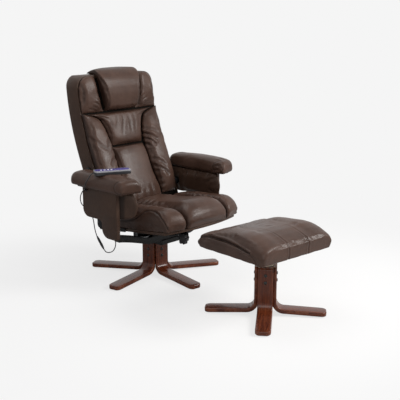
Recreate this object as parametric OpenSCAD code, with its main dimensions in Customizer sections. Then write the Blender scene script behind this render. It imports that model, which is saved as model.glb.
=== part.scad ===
// Swivel recliner with massage handset and matching footstool.
// Millimetres, +Z up, the chair faces -Y. The origin is on the floor in the middle of the set.

/* [Set layout] */
// Distance between the two swivel axes, front to back
stool_distance = 773; // [700:5:900]
// Sideways place of the footstool's axis from the chair's
stool_offset = -57; // [-120:1:120]
// Turn of the footstool pad against the chair, in degrees
stool_turn = -5; // [-20:1:20]
// Azimuth of the chair's first leg, in degrees
chair_leg_turn = -26; // [-36:1:36]
// Azimuth of the footstool's first leg, in degrees
stool_leg_turn = -53; // [-90:1:0]

/* [Bent wooden legs] */
// Width of every leg
leg_w = 68; // [60:1:74]
// Thickness of the bent laminated wood
leg_t = 20; // [16:1:22]
// Inner radius of the bend
leg_bend_r = 35; // [25:1:45]
// Height that a foot rises from its tip to the post
leg_rise = 8; // [4:1:14]
// Corner radius of a foot's tip
leg_tip_r = 24; // [12:1:30]
// Reach of the chair's legs from the axis
chair_leg_reach = 345; // [310:1:380]
// Distance from the chair's axis to the outer face of a leg's upright
chair_post_r = 58; // [56:1:66]
// Height of the chair's post
chair_post_h = 171; // [160:1:190]
// Reach of the footstool's legs from the axis
stool_leg_reach = 271; // [240:1:300]
// Distance from the footstool's axis to the outer face of a leg's upright
stool_post_r = 49; // [49:1:60]
// Height of the footstool's post
stool_post_h = 226; // [210:1:250]
// Gap at the mitred edges between two uprights
mitre_gap = 1; // [0.5:0.1:2]

/* [Glides and leg bolts] */
// Diameter of a foot glide
glide_d = 26; // [20:1:32]
// Thickness of a foot glide
glide_h = 3; // [2:0.5:5]
// Shank diameter of a leg bolt
bolt_d = 8; // [6:0.5:10]
// Head diameter of a leg bolt
bolt_head_d = 15; // [12:0.5:18]
// Height of a domed bolt head
bolt_head_h = 4; // [3:0.5:6]
// Depth of the upper bolt below the post's top
bolt_drop = 35; // [28:1:45]
// Distance between the two bolts of a leg
bolt_pitch = 33; // [28:1:45]
// Clearance round a bolt's shank
bolt_clear = 0.3; // [0.2:0.1:0.6]

/* [Swivels] */
// Diameter of both spindles
spindle_d = 38; // [30:1:40]
// Wall of the flanged bush round a spindle
bush_wall = 6; // [4:0.5:7]
// Thickness of the bush's thrust flange
thrust_t = 4; // [3:0.5:6]
// Length of the bush below its flange
bush_len = 70; // [50:1:85]
// Running clearance of every pin and spindle
running_gap = 0.05; // [0.02:0.01:0.08]
// Diameter of the flange on top of a spindle
flange_d = 92; // [80:1:110]
// Thickness of the flange on top of a spindle
flange_t = 7; // [5:0.5:10]

/* [Steel frame] */
// Width of the pressed swivel tray
tray_w = 130; // [120:1:150]
// Length of the swivel tray
tray_len = 168; // [167:1:230]
// Height of the swivel tray
tray_h = 22; // [18:1:26]
// Sheet thickness of the swivel tray
tray_t = 4; // [3:0.5:5]
// Height of the cross bar that carries the arms
bar_h = 32; // [28:1:36]
// Depth of the cross bar, front to back
bar_d = 30; // [24:1:36]
// Rise of the cross bar from its middle to its ends
bar_rise = 50; // [44:1:54]
// Half length of the cross bar's level middle
bar_flat = 146; // [146:1:160]
// Distance of the cross bar ahead of the swivel axis
bar_ahead = 96; // [92:1:98]
// Height of the short rear bar
rear_bar_h = 14; // [12:1:18]
// Distance of the rear bar behind the swivel axis
rear_bar_behind = 15; // [10:1:20]
// Thickness of the cross bar's end plates
end_plate_t = 4; // [3:0.5:6]

/* [Arms] */
// Distance from the middle to an arm board's outer face
arm_half = 355; // [350:1:360]
// Thickness of an upholstered arm board
board_t = 20; // [16:1:24]
// Height of an arm board's top edge
board_top = 488; // [480:1:494]
// Thickness of the batten under each arm pad
arm_top_t = 9; // [6:1:12]
// Height of the bottom of the board's front tongue
tongue_z = 262; // [256:1:268]
// Height of the board's stepped rear part
step_z = 345; // [338:1:352]
// Distance of the board's front edge ahead of the swivel axis
board_front = 120; // [118:1:126]
// Distance of the board's rear edge behind the swivel axis
board_rear = 126; // [118:1:132]
// Distance of the tongue's rear edge ahead of the swivel axis
tongue_rear = 12; // [6:1:20]
// Distance from an arm board's outer face in to the middle of its pad
arm_pad_in = 24; // [21:1:26]
// Width of an arm pad
arm_pad_w = 120; // [110:1:122]
// Height of an arm pad's crown above its board
arm_pad_h = 70; // [60:1:80]
// Distance of the arm pad's rear end behind the swivel axis
arm_pad_rear = 187; // [170:1:200]
// Distance of the arm pad's front end ahead of the swivel axis
arm_pad_front = 224; // [205:1:240]
// Distance that the pad's inner front corner leads the outer one
arm_pad_skew = 34; // [20:1:45]
// Depth of an inner arm pad, from the arm board's inner face
inner_depth = 65; // [55:1:69]
// Height of the bottom of the inner arm pad
inner_pad_z = 358; // [350:1:370]
// Distance of the inner arm pad's front face ahead of the swivel axis
inner_pad_front = 208; // [200:1:214]
// Distance that the inner arm pad's front falls back towards the board
inner_pad_skew = 66; // [50:1:75]
// Distance of the inner arm pad's rear end behind the swivel axis
inner_pad_rear = 88; // [70:1:90]

/* [Recline] */
// Distance of the back's pivot behind the swivel axis
pivot_behind = 124; // [122:1:130]
// Height of the back's pivot
pivot_z = 420; // [410:1:430]
// Distance of the seat link's pin below the pivot
link_drop = 140; // [136:1:146]
// Largest recline angle, in degrees
recline_max = 24; // [18:1:25]
// Slide of the seat for each radian of recline
slide_per_rad = 138.5; // [135:0.5:142]
// Radius of the back's pivot pin
pivot_r = 8; // [6:0.5:9]
// Radius of the seat link's pin
link_r = 6; // [5:0.5:7]
// Thickness of the steel bracket on each side of the back
bracket_t = 6; // [5:0.5:7]
// Width of the bracket's arms
bracket_w = 38; // [34:1:44]

/* [Seat] */
// Distance from an arm board's outer face in to the seat's side
seat_in = 108; // [105:1:115]
// Tilt of the seat, front up, in degrees
seat_tilt = 6.5; // [5:0.5:8]
// Height of the seat's underside at its reference line
seat_z = 286; // [284:1:292]
// Distance of the seat's rear end behind its reference line
seat_back_len = 199; // [190:1:200]
// Distance of the seat's front crown ahead of its reference line
seat_front_len = 252; // [235:1:265]
// Setback of the seat's front corners behind its front crown
seat_corner_back = 44; // [30:1:55]
// Thickness of the seat board
seat_board_t = 14; // [10:1:18]
// Height of the middle seat cushion above the board
seat_pad_h = 117; // [105:1:125]
// Height of the side seat cushions above the board
seat_side_h = 112; // [98:1:118]
// Half width of the middle seat cushion
seat_mid_half = 138; // [125:1:160]
// Gap between two cushions that are sewn side by side
sewn_gap = 0.5; // [0.3:0.1:0.9]
// Distance of each seat rail from the middle
rail_x = 105; // [95:1:130]

/* [Lock knob] */
// Diameter of the star knob
knob_d = 56; // [48:1:64]
// Thickness of the star knob
knob_t = 26; // [20:1:30]
// Distance of the knob's axis ahead of the swivel axis
knob_ahead = 272; // [264:1:280]
// Height of the knob's axis
knob_z = 246; // [242:1:252]
// Distance of the lock rod from the middle, on the sitter's right
lock_x = 46; // [40:1:60]
// Radius of the lock rod
lock_rod_r = 5; // [4:0.5:6]
// Wall of the clamp round the lock rod
lock_t = 5; // [4:0.5:6]
// Radius of the clamping stud
stud_r = 4; // [3:0.5:5]

/* [Back] */
// Distance from an arm board's outer face in to the back's side
back_in = 105; // [105:1:111]
// Depth of the back shell, front seam to rear
back_depth = 86; // [80:1:92]
// Wall of the moulded back shell
shell_wall = 14; // [10:1:16]
// Corner radius at the top of the back
back_corner_r = 60; // [45:1:70]
// Bottom of the front seam: distance behind the swivel axis
back_foot_y = 70; // [66:1:74]
// Bottom of the front seam: height
back_foot_z = 335; // [330:1:340]
// Lower handle of the back's curve: distance behind the swivel axis
back_low_y = 165; // [160:1:170]
// Lower handle of the back's curve: height
back_low_z = 570; // [560:1:580]
// Upper handle of the back's curve: distance behind the swivel axis
back_high_y = 270; // [264:1:276]
// Upper handle of the back's curve: height
back_high_z = 720; // [710:1:730]
// Top of the front seam: distance behind the swivel axis
back_top_y = 280; // [274:1:290]
// Top of the front seam: height
back_top_z = 998; // [985:1:1010]
// Thickness of the board behind the back cushions
back_board_t = 8; // [6:1:10]
// Crown of the lumbar cushion
lumbar_crown = 36; // [25:1:40]
// Crown of the upper back cushion
upper_crown = 32; // [22:1:38]
// Crown of the side bolsters
bolster_crown = 46; // [35:1:52]
// Crown of the wings beside the headrest
wing_crown = 27; // [18:1:34]
// Crown of the headrest pillow
headrest_crown = 57; // [45:1:62]
// Half width of the headrest at its top
headrest_half = 136; // [125:1:146]
// Rise of the headrest above the back shell
headrest_over = 30; // [20:1:40]

/* [Footstool] */
// Width of the footstool pad
stool_w = 457; // [420:1:470]
// Depth of the footstool pad, front to back
stool_d = 417; // [370:1:425]
// Distance of the footstool pad's middle behind its swivel axis
stool_pad_shift = 12; // [0:1:16]
// Height of the underside of the footstool pad
stool_z = 304; // [294:1:316]
// Thickness of the footstool's board
stool_board_t = 14; // [10:1:18]
// Height of the footstool pad's crown above its underside
stool_pad_h = 102; // [90:1:112]
// Depth of the two sewn channels on the footstool
stool_channel = 9; // [4:1:14]
// Distance of each sewn channel from the middle
stool_channel_x = 104; // [90:1:130]

/* [Handset] */
// Length of the handset
handset_l = 172; // [160:1:185]
// Width of the handset
handset_w = 54; // [48:1:60]
// Height of the handset's case
handset_h = 18; // [15:1:22]
// Thickness of the handset's face plates
face_t = 2.4; // [2:0.1:3]
// Wall of the handset's case
case_wall = 2.5; // [2:0.1:3]
// Diameter of a handset button
button_d = 9; // [7:0.5:10]
// Distance between two buttons
button_pitch = 16.5; // [14:0.5:18]
// Travel of a button
button_travel = 1; // [0.6:0.1:1.4]
// Turn of the handset as it lies on the arm, in degrees
handset_turn = -27; // [-45:1:0]

/* [Cord] */
// Diameter of the handset's cord
cord_d = 4.6; // [4:0.1:6]
// Diameter of the inline connector
connector_d = 12; // [10:0.5:13]

/* [Hidden] */

// Overrun of every cut past the face that it opens
cut = 2;
// Smoothness of round metal and plastic
$fn = 48;
// Steps of an arc in an outline
arc_steps = 8;
// Gap between a pad and the rigid face that it rests on
rest_gap = 0.3;

// The set's middle lies halfway between the stool's front and the back's rear
back_reach = back_top_y + back_depth;
stool_pad_reach = (stool_d / 2 - stool_pad_shift) * cos(stool_turn) + stool_w / 2 * abs(sin(stool_turn));
stool_foot_reach = stool_leg_reach * abs(sin(stool_leg_turn)) + leg_w / 4;
chair_y = (stool_distance + max(stool_pad_reach, stool_foot_reach) - back_reach) / 2;
stool_y = chair_y - stool_distance;

// Number of legs on each base
chair_legs = 5;
stool_legs = 4;
bush_r = spindle_d / 2 + bush_wall;
chair_core_r = chair_post_r - leg_t;
stool_core_r = stool_post_r - leg_t;
// Share of the post's height at which the core ends, near the floor
core_foot_share = 0.34;

// Steel frame heights
bush_rim = 9;
arm_mid = arm_half - arm_pad_in;
inner_half = arm_half - board_t - inner_depth;
seat_half = arm_half - seat_in;
back_half = arm_half - back_in;
tray_lift = 3;
chair_thrust_z = chair_post_h + thrust_t;
tray_z = chair_thrust_z + running_gap + tray_lift;
frame_z = tray_z + tray_h;
flange_z = frame_z - tray_t - flange_t;
tray_front = bar_ahead + bar_d / 2 + 4;
bar_end = arm_half - board_t - end_plate_t;
bar_steps = 14;

// Seat rails, in the seat's own tilted frame with z = 0 at the seat's underside
rail_h = 24;
rail_wall = 4;
rail_slot = 22;
rail_clear = 0.1;
rail_top = -4;
rail_bottom = rail_top - rail_h;
seat_line = 150;
rail_front = 100;
rail_rear = 190;
runner_front = 30;
runner_rear = 180;
runner_w = rail_slot - 2 * rail_clear;

// Recline linkage
bracket_x = back_half + sewn_gap;
link_z = pivot_z - link_drop;
lug_t = 5;
lug_gap = 3;
lug_x = bracket_x - lug_gap - lug_t;
slot_side = 1.6;
slot_up = 10;
slot_down = 3;
travel = slide_per_rad * recline_max * PI / 180;

function bezier(a, b, c, d, t) =
    pow(1 - t, 3) * a + 3 * t * pow(1 - t, 2) * b + 3 * t * t * (1 - t) * c + t * t * t * d;
function bezier_slope(a, b, c, d, t) =
    3 * pow(1 - t, 2) * (b - a) + 6 * t * (1 - t) * (c - b) + 3 * t * t * (d - c);
function unit(v) = v / norm(v);
function reversed(list) = [for (i = [len(list) - 1:-1:0]) list[i]];
function arc(cx, cy, r, from, to) =
    [for (i = [0:arc_steps]) let (a = from + (to - from) * i / arc_steps) [cx + r * cos(a), cy + r * sin(a)]];
// A rectangle with round corners, as an outline from its low corner
function round_box(w, d, r) = concat(
    arc(w / 2 - r, d / 2 - r, r, 0, 90), arc(r - w / 2, d / 2 - r, r, 90, 180),
    arc(r - w / 2, r - d / 2, r, 180, 270), arc(w / 2 - r, r - d / 2, r, 270, 360));
// A flat-bottomed section with a crown, as an open outline from +half to -half
function dome(mid, half, high, power, steps) =
    [for (k = [0:steps]) let (a = 180 * k / steps)
        [mid + half * sign(cos(a)) * pow(abs(cos(a)), 2 / power), high * pow(abs(sin(a)), 2 / power)]];

// A closed solid through rings that all have the same number of points
module loft(rings) {
    m = len(rings[0]);
    last = len(rings) - 1;
    sides = [for (i = [0:last - 1], k = [0:m - 1])
        let (a = i * m + k, b = i * m + (k + 1) % m, c = a + m, d = b + m) each [[a, b, d], [a, d, c]]];
    first_cap = [for (k = [1:m - 2]) [0, k + 1, k]];
    last_cap = [for (k = [1:m - 2]) [last * m, last * m + k, last * m + k + 1]];
    polyhedron([for (r = rings) each r], concat(sides, first_cap, last_cap));
}

// Outline in the Y-Z plane, thickened along +X from x
module side_plate(x, t) {
    translate([x, 0, 0])
        rotate([90, 0, 90])
            linear_extrude(t)
                children();
}

module both_sides() {
    children();
    mirror([1, 0, 0])
        children();
}

module at_chair() {
    translate([0, chair_y, 0])
        children();
}

module at_stool() {
    translate([stool_offset, stool_y, 0])
        children();
}

// Frame of the tilted seat: x across, y to the rear, z = 0 at the seat's underside
module at_seat() {
    translate([0, chair_y - seat_line, seat_z])
        rotate([-seat_tilt, 0, 0])
            children();
}

// Plan of a leg: mitred beside its neighbours, round at the tip
function leg_plan(reach, half_angle) = concat(
    [[mitre_gap / 2 / sin(half_angle), 0],
     [(leg_w / 2 + mitre_gap / 2 / cos(half_angle)) / tan(half_angle), -leg_w / 2]],
    arc(reach - leg_tip_r, leg_tip_r - leg_w / 2, leg_tip_r, -90, 0),
    arc(reach - leg_tip_r, leg_w / 2 - leg_tip_r, leg_tip_r, 0, 90),
    [[(leg_w / 2 + mitre_gap / 2 / cos(half_angle)) / tan(half_angle), leg_w / 2]]);

// Side view of a leg: upright, bend of constant thickness, and a foot that falls to its tip
function leg_side(reach, post_r, post_h) =
    let (slope = atan(leg_rise / (reach - post_r - leg_bend_r)),
         mid_r = post_r + leg_bend_r,
         mid_z = glide_h + leg_rise + leg_t + leg_bend_r,
         edge_r = leg_t / 4)
    concat(
        [[post_r, post_h]],
        arc(mid_r, mid_z, leg_bend_r, 180, 270 - slope),
        arc(reach - edge_r, glide_h + leg_t - edge_r, edge_r, 90, 0),
        arc(reach - edge_r, glide_h + edge_r, edge_r, 0, -90),
        arc(mid_r, mid_z, leg_bend_r + leg_t, 270 - slope, 180),
        [[post_r - leg_t, post_h]]);

module bent_leg(reach, post_r, post_h, count, azimuth) {
    rotate([0, 0, azimuth])
        difference() {
            intersection() {
                rotate([90, 0, 0])
                    linear_extrude(leg_w + cut, center = true)
                        polygon(leg_side(reach, post_r, post_h));
                linear_extrude(post_h + cut)
                    polygon(leg_plan(reach, 180 / count));
            }
            for (i = [0:1])
                translate([0, 0, post_h - bolt_drop - i * bolt_pitch])
                    rotate([0, 90, 0])
                        cylinder(h = post_r + cut, r = bolt_d / 2 + bolt_clear);
        }
}

// Steel core with flats for the uprights, bored for the bush and tapped for the bolts
module post_core(core_r, post_h, count, turn) {
    foot = post_h * core_foot_share;
    rotate([0, 0, turn])
        difference() {
            rotate([0, 0, 180 / count])
                translate([0, 0, foot])
                    cylinder(h = post_h - foot, r = core_r / cos(180 / count), $fn = count);
            translate([0, 0, post_h - bush_len - cut])
                cylinder(h = bush_len + 2 * cut, r = bush_r);
            for (leg = [0:count - 1], i = [0:1])
                rotate([0, 0, leg * 360 / count])
                    translate([bush_r / 2, 0, post_h - bolt_drop - i * bolt_pitch])
                        rotate([0, 90, 0])
                            cylinder(h = core_r, r = bolt_d / 2 + bolt_clear);
        }
}

// Flanged bush that the spindle turns in; its flange also takes the weight
module flanged_bush(post_h) {
    difference() {
        union() {
            translate([0, 0, post_h - bush_len])
                cylinder(h = bush_len, r = bush_r);
            translate([0, 0, post_h])
                cylinder(h = thrust_t, r = bush_r + bush_rim);
        }
        translate([0, 0, post_h - bush_len - cut])
            cylinder(h = bush_len + thrust_t + 2 * cut, r = spindle_d / 2 + running_gap);
    }
}

module leg_bolts(core_r, post_r, post_h, count, turn) {
    shank = post_r - bush_r - 2 * bolt_clear;
    for (leg = [0:count - 1], i = [0:1])
        rotate([0, 0, turn + leg * 360 / count])
            translate([post_r, 0, post_h - bolt_drop - i * bolt_pitch])
                rotate([0, 90, 0]) {
                    rotate_extrude()
                        polygon(concat([[0, 0]], [for (k = [0:arc_steps]) let (a = 90 * k / arc_steps)
                            [bolt_head_d / 2 * cos(a), bolt_head_h * (1 + 2 * sin(a)) / 3]], [[0, bolt_head_h]]));
                    cylinder(h = bolt_head_h / 3, r = bolt_head_d / 2);
                    translate([0, 0, -shank])
                        cylinder(h = shank, r = bolt_d / 2);
                }
}

module glides(reach, count, turn) {
    for (leg = [0:count - 1])
        rotate([0, 0, turn + leg * 360 / count])
            translate([reach - leg_tip_r - leg_t / 4, 0, 0])
                cylinder(h = glide_h, d = glide_d);
}

module chair_leg(i) {
    color("saddlebrown")
        at_chair()
            bent_leg(chair_leg_reach, chair_post_r, chair_post_h, chair_legs, chair_leg_turn + i * 360 / chair_legs);
}

module stool_leg(i) {
    color("saddlebrown")
        at_stool()
            bent_leg(stool_leg_reach, stool_post_r, stool_post_h, stool_legs, stool_leg_turn + i * 360 / stool_legs);
}

module chair_core() {
    color("dimgray")
        at_chair()
            post_core(chair_core_r, chair_post_h, chair_legs, chair_leg_turn);
}

module stool_core() {
    color("dimgray")
        at_stool()
            post_core(stool_core_r, stool_post_h, stool_legs, stool_leg_turn);
}

module chair_bush() {
    color("gray")
        at_chair()
            flanged_bush(chair_post_h);
}

module stool_bush() {
    color("gray")
        at_stool()
            flanged_bush(stool_post_h);
}

module chair_leg_bolts() {
    color("black")
        at_chair()
            leg_bolts(chair_core_r, chair_post_r, chair_post_h, chair_legs, chair_leg_turn);
}

module stool_leg_bolts() {
    color("black")
        at_stool()
            leg_bolts(stool_core_r, stool_post_r, stool_post_h, stool_legs, stool_leg_turn);
}

module chair_glides() {
    color("black")
        at_chair()
            glides(chair_leg_reach, chair_legs, chair_leg_turn);
}

module stool_glides() {
    color("black")
        at_stool()
            glides(stool_leg_reach, stool_legs, stool_leg_turn);
}

// Spindle with its top flange, turning in the flanged bush
module spindle(post_h, flange_low) {
    bottom = post_h - bush_len;
    translate([0, 0, bottom])
        cylinder(h = flange_low - bottom, d = spindle_d);
    translate([0, 0, flange_low])
        cylinder(h = flange_t, d = flange_d);
    // Collar that rests on the bush's flange
    translate([0, 0, post_h + thrust_t + running_gap])
        cylinder(h = flange_low - post_h - thrust_t - running_gap, r = bush_r);
}

module chair_spindle() {
    color("dimgray")
        at_chair()
            spindle(chair_post_h, flange_z);
}

// Pressed steel tray, open below, that sits on the spindle's flange
module swivel_tray() {
    corner = tray_h / 2;
    mid_y = tray_len / 2 - tray_front;
    color("black")
        at_chair()
            translate([0, mid_y, tray_z])
                difference() {
                    linear_extrude(tray_h)
                        polygon(round_box(tray_w, tray_len, corner));
                    translate([0, 0, -cut])
                        linear_extrude(tray_h - tray_t + cut)
                            polygon(round_box(tray_w - 2 * tray_t, tray_len - 2 * tray_t, corner - tray_t));
                }
}

// Height of the cross bar's middle line at a distance from the middle
function bar_line(x) = frame_z + bar_h / 2
    + (abs(x) < bar_flat ? 0 : bar_bend((abs(x) - bar_flat) / (bar_reach - bar_flat)));
function bar_bend(q) = bar_rise * ((1 - bar_round_share) * q + bar_round_share * sin(90 * q));
function bar_x(i) = bar_flat + (bar_reach - bar_flat) * i / bar_steps;
function bar_edge(side) = concat(
    [for (i = [bar_steps:-1:0]) [-bar_x(i), bar_line(bar_x(i)) + side]],
    [for (i = [0:bar_steps]) [bar_x(i), bar_line(bar_x(i)) + side]]);

bar_round_share = 0.3;
bar_reach = bar_end + end_plate_t / 2;
end_plate_h = 56;
end_plate_d = 38;
arm_bolt_pitch = 20;
arm_bolt_r = 2.5;
arm_bolt_head = 3;
arm_bolt_deep = 13;
end_plate_low = frame_z + bar_rise;
arm_bolt_z = end_plate_low + bar_h + (end_plate_h - bar_h) / 2;

module arm_cross_bar() {
    color("black")
        at_chair()
            translate([0, -bar_ahead, 0])
                difference() {
                    union() {
                        rotate([90, 0, 0])
                            linear_extrude(bar_d, center = true)
                                polygon(concat(bar_edge(-bar_h / 2), reversed(bar_edge(bar_h / 2))));
                        both_sides()
                            translate([bar_end, -end_plate_d / 2, end_plate_low])
                                cube([end_plate_t, end_plate_d, end_plate_h]);
                    }
                    // Bores for the bolts into the arm boards
                    for (side = [-1, 1], up = [-1, 1])
                        translate([side * (bar_end + end_plate_t / 2), up * arm_bolt_pitch / 2, arm_bolt_z])
                            rotate([0, 90, 0])
                                cylinder(h = end_plate_t + 2 * cut, r = arm_bolt_r + bolt_clear, center = true);
                }
}

// The short rear bar, which is welded under the rails
module rear_bar() {
    half = rail_x + rail_slot / 2 + rail_wall;
    translate([-half, rear_bar_behind - bar_d / 2, frame_z])
        cube([2 * half, bar_d, rear_bar_h]);
}

// A rail: a channel that is open at the top
module rail_channel() {
    difference() {
        translate([-rail_slot / 2 - rail_wall, -rail_front, rail_bottom])
            cube([rail_slot + 2 * rail_wall, rail_front + rail_rear, rail_h]);
        translate([-rail_slot / 2, -rail_front - cut, rail_bottom + rail_wall])
            cube([rail_slot, rail_front + rail_rear + 2 * cut, rail_h]);
    }
}

// Post that rises from a bar's top to the rail's sloping underside
module rail_post(y, top_z) {
    rail_out = rail_slot + 2 * rail_wall;
    intersection() {
        translate([rail_x - rail_out / 2, y - bar_d / 2, top_z])
            cube([rail_out, bar_d, seat_z - top_z]);
        at_seat_local()
            translate([0, -rail_front, rail_bottom - seat_z])
                cube([arm_half, rail_front + rail_rear, seat_z]);
    }
}

module at_seat_local() {
    translate([0, -seat_line, seat_z])
        rotate([-seat_tilt, 0, 0])
            children();
}

module seat_rails() {
    color("silver")
        at_chair() {
            rear_bar();
            both_sides() {
                at_seat_local()
                    translate([rail_x, 0, 0])
                        rail_channel();
                rail_post(-bar_ahead, frame_z + bar_h);
                rail_post(rear_bar_behind, frame_z + rear_bar_h);
            }
        }
}

// Outline of an arm board: deep tongue at the front, stepped up towards the rear
tongue_r = 45;
step_r = 20;
rear_r = 40;
board_edge_r = 10;
function board_outline() = concat(
    [[-board_front, board_top]],
    arc(board_edge_r - board_front, tongue_z + board_edge_r, board_edge_r, 180, 270),
    arc(-tongue_rear - tongue_r, tongue_z + tongue_r, tongue_r, 270, 360),
    arc(step_r - tongue_rear, step_z - step_r, step_r, 180, 90),
    arc(board_rear - rear_r, step_z + rear_r, rear_r, 270, 360),
    [[board_rear, board_top]]);

module arm_board() {
    difference() {
        side_plate(arm_half - board_t, board_t)
            polygon(board_outline());
        for (up = [-1, 1])
            translate([arm_half - board_t - cut, up * arm_bolt_pitch / 2 - bar_ahead, arm_bolt_z])
                rotate([0, 90, 0])
                    cylinder(h = arm_bolt_deep + cut, r = arm_bolt_r + bolt_clear);
    }
}

module arm_board_left() {
    color("#3a2b24")
        at_chair()
            arm_board();
}

module arm_board_right() {
    color("#3a2b24")
        at_chair()
            mirror([1, 0, 0])
                arm_board();
}

module arm_bolts() {
    color("silver")
        at_chair()
            both_sides()
                for (up = [-1, 1])
                    translate([bar_end, up * arm_bolt_pitch / 2 - bar_ahead, arm_bolt_z])
                        rotate([0, 90, 0]) {
                            translate([0, 0, -arm_bolt_head])
                                cylinder(h = arm_bolt_head, r = 2 * arm_bolt_r);
                            cylinder(h = end_plate_t + arm_bolt_deep - bolt_clear, r = arm_bolt_r);
                        }
}

// Arm pad: boxy section with a soft crown, drawn in at both ends, its front end led by the inner side
arm_pad_len = arm_pad_rear + arm_pad_front;
arm_pad_end_shares = [[0, 0.80], [0.02, 0.93], [0.06, 1], [0.92, 1], [0.97, 0.96], [0.99, 0.90], [1, 0.76]];
arm_pad_crown_shares =
    [[0, 0.72], [0.02, 0.86], [0.06, 0.92], [0.3, 0.95], [0.6, 1], [0.85, 1], [0.95, 0.95], [0.985, 0.82], [1, 0.6]];
arm_pad_stops = [0, 0.012, 0.035, 0.08, 0.18, 0.3, 0.42, 0.54, 0.66, 0.76, 0.84, 0.9, 0.94, 0.97, 0.988, 1];
function arm_pad_ring(s) =
    let (outline = dome(0, arm_pad_w / 2 * lookup(s, arm_pad_end_shares), arm_pad_h * lookup(s, arm_pad_crown_shares),
             3.4, 18))
    [for (p = outline) [arm_mid + p[0],
        arm_pad_rear - s * (arm_pad_len - arm_pad_skew / 2) + arm_pad_skew * s * p[0] / arm_pad_w,
        board_top + arm_top_t + rest_gap + p[1]]];

module arm_pad() {
    loft(reversed([for (s = arm_pad_stops) arm_pad_ring(s)]));
}

module arm_pad_left() {
    color("#5a463c")
        at_chair()
            arm_pad();
}

module arm_pad_right() {
    color("#5a463c")
        at_chair()
            mirror([1, 0, 0])
                arm_pad();
}

// Inner arm pad: flat against the arm board, softly crowned towards the sitter, with a panel beside the back
inner_pad_back = arm_half - board_t - rest_gap;
inner_pad_top = board_top + arm_top_t;
inner_wing_t = 16;
inner_wing_in = 6;
inner_wing_inset = 5;
inner_wing_rear = 185;
inner_wing_front = 72;
inner_wing_r = 30;
boss_r = 15;
boss_gap = 1;
inner_crown_shares = [[0, 0.80], [0.06, 0.93], [0.2, 1], [0.8, 1], [0.94, 0.93], [1, 0.80]];
inner_half_shares = [[0, 0.86], [0.06, 0.97], [0.16, 1], [0.84, 1], [0.94, 0.97], [1, 0.88]];
inner_pad_tuck = 26;
inner_pad_stops = [0, 0.03, 0.08, 0.18, 0.35, 0.5, 0.65, 0.82, 0.92, 0.97, 1];
function inner_pad_ring(s) =
    let (mid_z = (inner_pad_z + inner_pad_top) / 2, half = (inner_pad_top - inner_pad_z) / 2,
         outline = dome(0, half * lookup(s, inner_half_shares), (inner_pad_back - inner_half) * lookup(s, inner_crown_shares),
             5, 14))
    [for (p = outline)
        [inner_pad_back - p[1],
         inner_pad_rear - s * (inner_pad_rear + inner_pad_front
             - inner_pad_skew * s * (1 - p[1] / (inner_pad_back - inner_half))
             - inner_pad_tuck * s * pow(p[0] / half, 2)),
         mid_z + p[0]]];

module inner_arm_pad() {
    wing_x = inner_half + inner_wing_in;
    low = inner_pad_z + inner_wing_inset;
    high = inner_pad_top - inner_wing_inset;
    difference() {
        union() {
            loft(reversed([for (s = inner_pad_stops) inner_pad_ring(s)]));
            side_plate(wing_x, inner_wing_t)
                polygon(concat(
                    [[inner_wing_front, high], [inner_wing_front, low]],
                    arc(inner_wing_rear - inner_wing_r, low + inner_wing_r, inner_wing_r, 270, 360),
                    [[inner_wing_rear, high]]));
        }
        translate([wing_x - cut, pivot_behind, pivot_z])
            rotate([0, 90, 0])
                cylinder(h = inner_wing_t + 2 * cut, r = boss_r + boss_gap);
    }
}

module inner_arm_pad_left() {
    color("#3d2f28")
        at_chair()
            inner_arm_pad();
}

module inner_arm_pad_right() {
    color("#3d2f28")
        at_chair()
            mirror([1, 0, 0])
                inner_arm_pad();
}

// Batten under each arm pad, resting on the arm board's top edge
arm_top_out = 10;
arm_top_front_inset = 52;
arm_top_rear_inset = 36;
module arm_top_boards() {
    color("#3a2b24")
        at_chair()
            both_sides()
                translate([arm_half - board_t, arm_top_front_inset - arm_pad_front, board_top])
                    cube([board_t + arm_top_out, arm_pad_len - arm_top_front_inset - arm_top_rear_inset, arm_top_t]);
}

// Steel plate on the inner face of each arm board, with the boss and pin that the back turns on
post_plate_h = 56;
post_plate_front = 32;
module pivot_posts() {
    plate_x = arm_half - board_t - bracket_t;
    pin_in = bracket_x + bracket_t + boss_gap;
    color("dimgray")
        at_chair()
            both_sides() {
                side_plate(plate_x, bracket_t) {
                    translate([pivot_behind - post_plate_front, pivot_z - post_plate_h / 2])
                        square([post_plate_front, post_plate_h]);
                    translate([pivot_behind, pivot_z])
                        circle(r = post_plate_h / 2);
                }
                translate([pin_in, pivot_behind, pivot_z])
                    rotate([0, 90, 0])
                        cylinder(h = plate_x - pin_in, r = boss_r);
                translate([bracket_x, pivot_behind, pivot_z])
                    rotate([0, 90, 0])
                        cylinder(h = bracket_t + boss_gap, r = pivot_r);
            }
}

// The pins of the recline linkage and of the lock, in the seat's own frame
link_local = [
    (pivot_behind + seat_line) * cos(seat_tilt) - (link_z - seat_z) * sin(seat_tilt),
    (pivot_behind + seat_line) * sin(seat_tilt) + (link_z - seat_z) * cos(seat_tilt)];
knob_local = [
    (seat_line - knob_ahead) * cos(seat_tilt) - (knob_z - seat_z) * sin(seat_tilt),
    (seat_line - knob_ahead) * sin(seat_tilt) + (knob_z - seat_z) * cos(seat_tilt)];

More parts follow.
